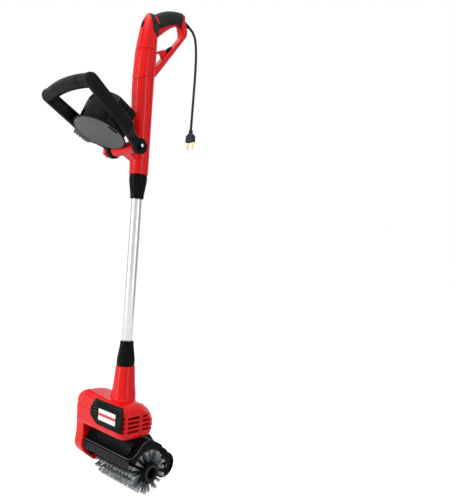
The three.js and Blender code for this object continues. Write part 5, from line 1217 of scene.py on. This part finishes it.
film_skin = add(film_tree, "ShaderNodeBsdfPrincipled",
                {"Base Color": film_colour.outputs[2], "Roughness": film_rough})
add(film_tree, "ShaderNodeOutputMaterial", {"Surface": film_skin})
plate_outline = rounded([(-20, 108), (46, 108), (46, 134), (-20, 134)], 1.2)
plate = shaped("bare_plate", *slab_y(plate_outline, -53.25, -52.6), plate_film)
dress(plate, "tube_and_head", "white_plastic", "label_plate")

# Brush roller: a tube of black PP drilled in staggered rows, a tuft of grey crimped nylon stapled
# into each hole. The tufts splay outward and their tips are trimmed to one radius.
brush_radius, core_radius, brush_far, brush_near = 49, 23.8, -66, 92
core = turned("brush_core", [
    (6.3, brush_far - 2), (23.0, brush_far - 2), (core_radius, brush_far - 1.2),
    (core_radius, brush_near + 1.2), (23.0, brush_near + 2), (13.2, brush_near + 2), (12.5, brush_near + 1.3),
    (12.5, brush_near - 16), (6.3, brush_near - 16),
], (0, brush_back, 0), (1, 0, 0), black_pp, 96, 40)
dress(core, "brush", "black_plastic", "brush_roller")

# Crimped nylon: grey and a little glassy, darker towards the roots and nearly white towards the tips
nylon = bpy.data.materials.new("crimped_grey_nylon")
nylon_tree = emptied(nylon)
nylon_place = add(nylon_tree, "ShaderNodeTexCoord").outputs["Object"]
from_axle = add(nylon_tree, "ShaderNodeVectorMath", {0: nylon_place, 1: row(0, brush_back, 0)},
                operation="SUBTRACT")
across_axle = add(nylon_tree, "ShaderNodeVectorMath", {0: from_axle, 1: (0, 1, 1)}, operation="MULTIPLY")
reach = add(nylon_tree, "ShaderNodeVectorMath", {0: across_axle}, operation="LENGTH")
along_hair = add(nylon_tree, "ShaderNodeMapRange", {
    "Value": reach.outputs["Value"], "From Min": core_radius / 1000, "From Max": brush_radius / 1000})
hair_noise = add(nylon_tree, "ShaderNodeTexNoise", {"Vector": nylon_place, "Scale": 1000 / 1.6, "Detail": 2.0})
noise_share = 0.35
hair_shift = add(nylon_tree, "ShaderNodeMath", {0: hair_noise, 1: noise_share, 2: along_hair},
                 operation="MULTIPLY_ADD")
hair_tone = add(nylon_tree, "ShaderNodeValToRGB", {0: hair_shift})
tone_stops = hair_tone.color_ramp.elements
tone_stops[0].position, tone_stops[0].color = 0.1, linear("#2a2e31")
tone_stops[1].position, tone_stops[1].color = 1.2 / (1 + noise_share), linear("#a0a7aa")
tone_stops.new(0.55).color = linear("#6a7176")
tone_stops.new(0.99).color = linear("#cdd1d2")
hair_rough = add(nylon_tree, "ShaderNodeMapRange", {"Value": hair_noise, "To Min": 0.3, "To Max": 0.5})
hair_skin = add(nylon_tree, "ShaderNodeBsdfPrincipled", {"Base Color": hair_tone, "Roughness": hair_rough})
add(nylon_tree, "ShaderNodeOutputMaterial", {"Surface": hair_skin})


def tuft_mesh(name, hairs, length_mm, root_mm, tip_mm, hair_mm, seed):
    """One tuft of bent hairs that stands on the origin along Y, in metres."""
    chance = random.Random(seed)
    points, faces = [], []
    for h in range(hairs):
        turn = h * math.pi * (3 - math.sqrt(5))
        out = math.sqrt((h + 0.5) / hairs)
        turn_tip = turn + chance.uniform(-0.35, 0.35)
        tip_out = out * tip_mm + chance.uniform(-0.6, 0.6)
        length = length_mm - chance.uniform(0, 1.1)
        middle_out = out * (root_mm + tip_mm) * 0.42 + chance.uniform(-0.5, 0.5)
        stations = ((0, out * root_mm, turn), (0.5 * length, middle_out, turn), (length, tip_out, turn_tip))
        first = len(points)
        for height, away, angle in stations:
            for corner in range(3):
                side = corner * 2 * math.pi / 3 + turn
                points.append(((away * math.cos(angle) + hair_mm * math.cos(side)) / 1000, height / 1000,
                               (away * math.sin(angle) + hair_mm * math.sin(side)) / 1000))
        for level in range(2):
            for corner in range(3):
                a, b = first + level * 3 + corner, first + level * 3 + (corner + 1) % 3
                faces.append((a, a + 3, b + 3, b))
        faces.append((first + 6, first + 8, first + 7))
    return meshed(name, points, faces)


# The tufts stand in rows round an axle along X. Every second row is shifted by half a pitch, and each
# tuft leans a little its own way.
tuft_tree, given, tuft_keys = repeat_tree("staggered_tufts", "Tuft", [
    ("Rows", "Int", 20, 3, 60), ("Tufts in a row", "Int", 13, 1, 60),
    ("First place", "Float", 0.0, -1.0, 1.0), ("Pitch", "Float", 0.012, 0.001, 0.1),
    ("Hole radius", "Float", 0.022, 0.001, 0.2),
    ("Axle", "Vector", (0, 0, 0)), ("Lean", "Float", 0.06, 0.0, 0.5), ("Seed", "Int", 5, 0, 1000)])
index = add(tuft_tree, "GeometryNodeInputIndex")
share = add(tuft_tree, "ShaderNodeMath", {0: index, 1: given["Tufts in a row"]}, operation="DIVIDE")
row_number = add(tuft_tree, "ShaderNodeMath", {0: share}, operation="FLOOR")
in_row = add(tuft_tree, "ShaderNodeMath", {0: index, 1: given["Tufts in a row"]}, operation="MODULO")
odd = add(tuft_tree, "ShaderNodeMath", {0: row_number, 1: 2.0}, operation="MODULO")
stagger = add(tuft_tree, "ShaderNodeMath", {0: odd, 1: 0.5, 2: in_row}, operation="MULTIPLY_ADD")
along = add(tuft_tree, "ShaderNodeMath", {0: stagger, 1: given["Pitch"], 2: given["First place"]},
            operation="MULTIPLY_ADD")
step = add(tuft_tree, "ShaderNodeMath", {0: 2 * math.pi, 1: given["Rows"]}, operation="DIVIDE")
turn = add(tuft_tree, "ShaderNodeMath", {0: row_number, 1: step}, operation="MULTIPLY")
cosine = add(tuft_tree, "ShaderNodeMath", {0: turn}, operation="COSINE")
sine = add(tuft_tree, "ShaderNodeMath", {0: turn}, operation="SINE")
out_y = add(tuft_tree, "ShaderNodeMath", {0: cosine, 1: given["Hole radius"]}, operation="MULTIPLY")
out_z = add(tuft_tree, "ShaderNodeMath", {0: sine, 1: given["Hole radius"]}, operation="MULTIPLY")
out = add(tuft_tree, "ShaderNodeCombineXYZ", {0: along, 1: out_y, 2: out_z})
place = add(tuft_tree, "ShaderNodeVectorMath", {0: out, 1: given["Axle"]}, operation="ADD")
count = add(tuft_tree, "ShaderNodeMath", {0: given["Rows"], 1: given["Tufts in a row"]}, operation="MULTIPLY")
holes = add(tuft_tree, "GeometryNodePoints", {"Count": count, "Position": place})
facing = add(tuft_tree, "ShaderNodeCombineXYZ", {0: turn})
stand = add(tuft_tree, "FunctionNodeEulerToRotation", {0: facing})
lean_back = add(tuft_tree, "ShaderNodeMath", {0: given["Lean"], 1: -1.0}, operation="MULTIPLY")
low = add(tuft_tree, "ShaderNodeCombineXYZ", {0: lean_back, 1: -math.pi, 2: lean_back})
high = add(tuft_tree, "ShaderNodeCombineXYZ", {0: given["Lean"], 1: math.pi, 2: given["Lean"]})
loose = add(tuft_tree, "FunctionNodeRandomValue", {0: low, 1: high, 8: given["Seed"]}, data_type="FLOAT_VECTOR")
loose_turn = add(tuft_tree, "FunctionNodeEulerToRotation", {0: loose})
upward = add(tuft_tree, "FunctionNodeRotateRotation", {0: stand, 1: loose_turn}, rotation_space="LOCAL")
planted = add(tuft_tree, "GeometryNodeInstanceOnPoints", {"Points": holes, "Instance": given["Tuft"],
                                                          "Rotation": upward})
ended(tuft_tree, given, planted)
tufts = tuft_mesh("brush_tufts", 36, brush_radius - 22.7, 1.7, 3.5, 0.42, 11)
tufts_in_row, tuft_margin = 13, 4.8
grown(tufts, tuft_tree, tuft_keys, nylon, **{
    "Rows": 18, "Tufts in a row": tufts_in_row, "First place": (brush_far + tuft_margin) / 1000,
    "Pitch": (brush_near - brush_far - 2 * tuft_margin) / (tufts_in_row - 0.5) / 1000, "Hole radius": 0.0222,
    "Axle": row(0, brush_back, 0), "Lean": 0.07, "Seed": 5})
dress(tufts, "brush", "bristle")

# End ring: a grey PP washer that closes the core's near end; the blackened hex screw inside it
# holds the roller on the drive shaft
ring_pp = moulded("moulded_grey_pp", "#1a1b1b", "#141515", roughness=0.4, spread=0.08, grain=(1.6, 0.08),
                  specular=0.14, mottle=0.4)
end_ring = turned("brush_ring", [
    (12.7, 94.4), (19.2, 94.4), (19.5, 94.8), (19.5, 96.6), (18.2, 98.2), (17.0, 98.3), (15.8, 97.5),
    (13.6, 97.5), (12.7, 96.8),
], (0, brush_back, 0), (1, 0, 0), ring_pp, 96, 40)
dress(end_ring, "brush", "black_plastic", "brush_end_ring")
blackened_steel = steel_finish("blackened_steel", "#3b3b3d", roughness=0.36, lines=(0.8, 0.02))
hex_radius = 8.9
hex_outline = [(brush_back + hex_radius * c, hex_radius * s) for c, s in circle(6, 0.5)]
hex_head = shaped("brush_screw", *slab_x(hex_outline, 76.4, 82), blackened_steel)
hex_dome = [(0, 70), (9.2, 70), (9.2, 80.9), (7.6, 82.2), (0, 82.2)]
carved(hex_head, [turned("hex_dome", hex_dome, (0, brush_back, 0), (1, 0, 0), count=48)], "INTERSECT", angle=25)
dress(hex_head, "brush", "steel", "brush_bolt")


# Guard: one thick moulding of black PP over the brush, with a scooped front that ends in a lip and
# a wall at its far end. It is screwed up under the motor housing.
guard_inner, guard_wall, lip_front, lip_height = 57, 4, 45, 46


def arc(radius, start, stop, steps):
    """Points of depth and height round the brush axle, with the angles in degrees."""
    return [(brush_back + radius * math.cos(a), radius * math.sin(a))
            for a in (math.radians(start + (stop - start) * i / steps) for i in range(steps + 1))]


def bend(start, pull, end, steps):
    """Points of a curve from start to end, drawn towards a third point."""
    return [tuple(Vector(start) * (1 - t) ** 2 + Vector(pull) * 2 * t * (1 - t) + Vector(end) * t * t)
            for t in (i / steps for i in range(1, steps + 1))]


hood_top, hood_far, hood_near = 76.7, -85.5, 95
hood_rear = arc(guard_inner + guard_wall, 62, 22, 16)
hood_outline = arc(guard_inner, 22, 146, 48) + [(-lip_front + 2, lip_height - 4), (-lip_front, lip_height - 2)]
hood_outline += [(-lip_front, lip_height)]
hood_outline += bend((-lip_front, lip_height), (-27.9, 52.9), (-27, 71.3), 12)
hood_outline += bend((-27, 71.3), (-27, hood_top), (-36, hood_top), 6)
hood_outline += [(14.7, hood_top)]
hood_outline += bend((14.7, hood_top), (23.1, 75.2), (hood_rear[0][0], hood_rear[0][1] + guard_wall), 8)
hood_outline += hood_rear
hood = shaped("guard_moulding", *slab_x(hood_outline, hood_far, hood_near), black_pp)
fall = [(-90, 160), (-90, lip_height), (-lip_front, lip_height)]
fall += bend((-lip_front, lip_height), (-27.9, lip_height), (-15.75, 61.35), 12)
fall += bend((-15.75, 61.35), (-4.5, hood_top), (14.7, hood_top), 12) + [(14.7, 160)]
carved(hood, [tool(slab_x(fall, 78, 120))], angle=30)
wall_rear = brush_back + guard_inner * 0.9
wall_outline = rounded([(-41.3, lip_height), (-41.3, lip_height * 0.5), (-lip_front * 0.55, 0),
                        (wall_rear * 0.9, 0), (wall_rear, lip_height * 0.3), (wall_rear, lip_height * 0.55),
                        (brush_back, guard_inner + 2)], 15)
carved(hood, [tool(slab_x(wall_outline, hood_far, hood_far + guard_wall))], "UNION", angle=30)
carved(hood, [tool(rod_x(13.5, -90, -70, brush_back, 0, 64))], angle=30)
softened(hood, 0.7, 45, 3)
dress(hood, "tube_and_head", "black_plastic", "guard_hood")
# A narrow polished bead runs along the lip and up the near end; its lighter grey is a painted highlight of the
# edge
bead_path = [Vector((x, -lip_front - 0.1, lip_height + 0.1)) for x in (-85, 88)]
bead_path += [Vector((94.2, y, z + 0.2)) for y, z in fall[3:-2]]
bead_radius, bead_rings = 0.85, []
for i, place in enumerate(bead_path):
    run = (bead_path[min(i + 1, len(bead_path) - 1)] - bead_path[max(i - 1, 0)]).normalized()
    across = run.cross(Vector((0, 0, 1))).normalized()
    third = run.cross(across)
    bead_rings.append([tuple(place + (across * c + third * s) * bead_radius) for c, s in circle(12)])
bead = shaped("guard_edge_bead", *skinned(bead_rings), painted_highlight_pp, 60)
dress(bead, "tube_and_head", "black_plastic")


# Skirt: a strip of black rubber under the hood's lip, moulded with upright ribs. It holds back the
# dirt that the brush throws.
rib_tree, given, rib_keys = repeat_tree("row_of_ribs", "Rib", [
    ("Count", "Int", 10, 1, 200), ("Start", "Vector", (0, 0, 0)), ("Step", "Vector", (0.006, 0, 0))])
rib_line = add(rib_tree, "GeometryNodeMeshLine", {"Count": given["Count"], "Start Location": given["Start"],
                                                  "Offset": given["Step"]}, mode="OFFSET")
stood = add(rib_tree, "GeometryNodeInstanceOnPoints", {"Points": rib_line, "Instance": given["Rib"]})
ended(rib_tree, given, stood)


skirt_rubber = moulded("moulded_skirt_rubber", "#131415", "#1c1d1e", roughness=0.45, spread=0.08,
                       grain=(1.2, 0.1), specular=0.16, mottle=0.5)
skirt = softened(shaped("skirt_strip", *box(-85.4, 91, -43.6, -41.7, 21.9, 40.7), skirt_rubber), 0.4, 50, 2)
dress(skirt, "tube_and_head", "rubber", "guard_skirt")
rib_section = [(-1.5, -43.4), (-1.3, -44.2), (-0.7, -44.55), (0.7, -44.55), (1.3, -44.2), (1.5, -43.4)]
rib_points, rib_faces = skinned([[(-83 + x, y, z) for x, y in rib_section] for z in (22.3, 40.3)])
skirt_ribs = meshed("skirt_ribs", [row(*p) for p in rib_points], rib_faces)
grown(skirt_ribs, rib_tree, rib_keys, skirt_rubber, Count=20, Start=(0, 0, 0), Step=(0.00905, 0, 0))
dress(shaded(skirt_ribs, 40), "tube_and_head", "rubber")

# Wheel bracket: a moulded arm of black PP that carries the axle. Its foot is hollowed to lie on the
# round back of the hood.
wheel_back, wheel_height = 105, -17
topmost = brush_back + (guard_inner + guard_wall) * 0.62
arm_outline = rounded([(topmost - 4, 56.2), (topmost + 12, 62.4), (95, 31.2), (113.8, 0), (113.8, -25.8),
                       (96.2, -25.8), (89, 11.7), (78, 15.6)], 8, 8)
bracket = shaped("wheel_arm", *slab_x(arm_outline, -3, 19), black_pp)
carved(bracket, [tool(rod_x(4.3, -20, 40, wheel_back, wheel_height, 40)),
                 tool(rod_x(guard_inner + guard_wall + 0.3, -110, 110, brush_back, 0, 160))], angle=30)
softened(bracket, 0.9, 45, 3)
dress(bracket, "tube_and_head", "black_plastic", "wheel_bracket")

# Wheels: black PP discs with a dished face, a tyre of harder rubber with cross treads, and a pressed
# steel cap on each end of the axle
tyre_rubber = moulded("tyre_rubber", "#050505", "#090909", roughness=0.5, spread=0.08, grain=(1.0, 0.12),
                      specular=0.03, mottle=0.6)
for body_name, wheel_x in (("wheel_far", -21), ("wheel_near", 37)):
    disc = turned(body_name + "_disc", [
        (4.7, -10.9), (8.4, -10.9), (9, -10.3), (9, -7.8), (14, -7.2), (22.4, -7.8), (23.7, -10.5),
        (24.6, -10.9), (27.2, -10.9), (27.2, 10.9), (24.6, 10.9), (23.7, 10.5), (22.4, 7.8), (14, 7.2),
        (9, 7.8), (9, 10.3), (8.4, 10.9), (4.7, 10.9),
    ], (wheel_x, wheel_back, wheel_height), (1, 0, 0), black_pp, 72, 35)
    dress(disc, body_name, "black_plastic", body_name)
    tyre = turned(body_name + "_tyre", [
        (27.0, -10.2), (27.9, -10.8), (29.3, -9.9), (30.2, -8.6), (30.2, 8.6), (29.3, 9.9), (27.9, 10.8),
        (27.0, 10.2),
    ], (wheel_x, wheel_back, wheel_height), (1, 0, 0), tyre_rubber, 96, 35)
    dress(tyre, body_name, "rubber")

# Motor, gears, bearings and switch: closed in, so the frame's own solids stay and get their metals
# and plastics: laminated steel, copper, ground steel, and gears of white POM
laminated = steel_finish("laminated_motor_steel", "#8d9094", roughness=0.45, lines=(0.7, 0.03),
                         stretch=(60, 1, 1))
ground_steel = steel_finish("ground_steel", "#b9bcc0", roughness=0.26, lines=(0.6, 0.01))
copper_bars = steel_finish("copper_bars", "#b86a3c", roughness=0.33, lines=(0.8, 0.03), stretch=(1, 8, 8))
pin_brass = steel_finish("nickel_free_brass", "#c8a24c", roughness=0.28, lines=(0.7, 0.01), stretch=(1, 1, 0.1))
white_pom = moulded("moulded_white_pom", "#e6e0cf", "#d8d0bc", roughness=0.42, spread=0.05, grain=(2.0, 0.04),
                    specular=0.5, mottle=0.5)
for finish, node_names in (
    (laminated, ("motor_stator", "motor_armature")),
    (ground_steel, ("far_bearing", "near_bearing", "motor_pinion", "first_gear_pin", "idler_pin",
                    "output_bearing", "drive_shaft")),
    (blackened_steel, ("wheel_axle",)),
    (copper_bars, ("commutator",)),
    (pin_brass, ("plug_pin_left", "plug_pin_right")),
    (white_pom, ("first_gear", "idler_gear", "output_gear", "upper_collet", "lower_collet", "switch_plunger")),
    (black_pp, ("motor_fan", "switch_body")),
):
    for node_name in node_names:
        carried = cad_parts[node_name]
        carried.data.materials.clear()
        carried.data.materials.append(finish)
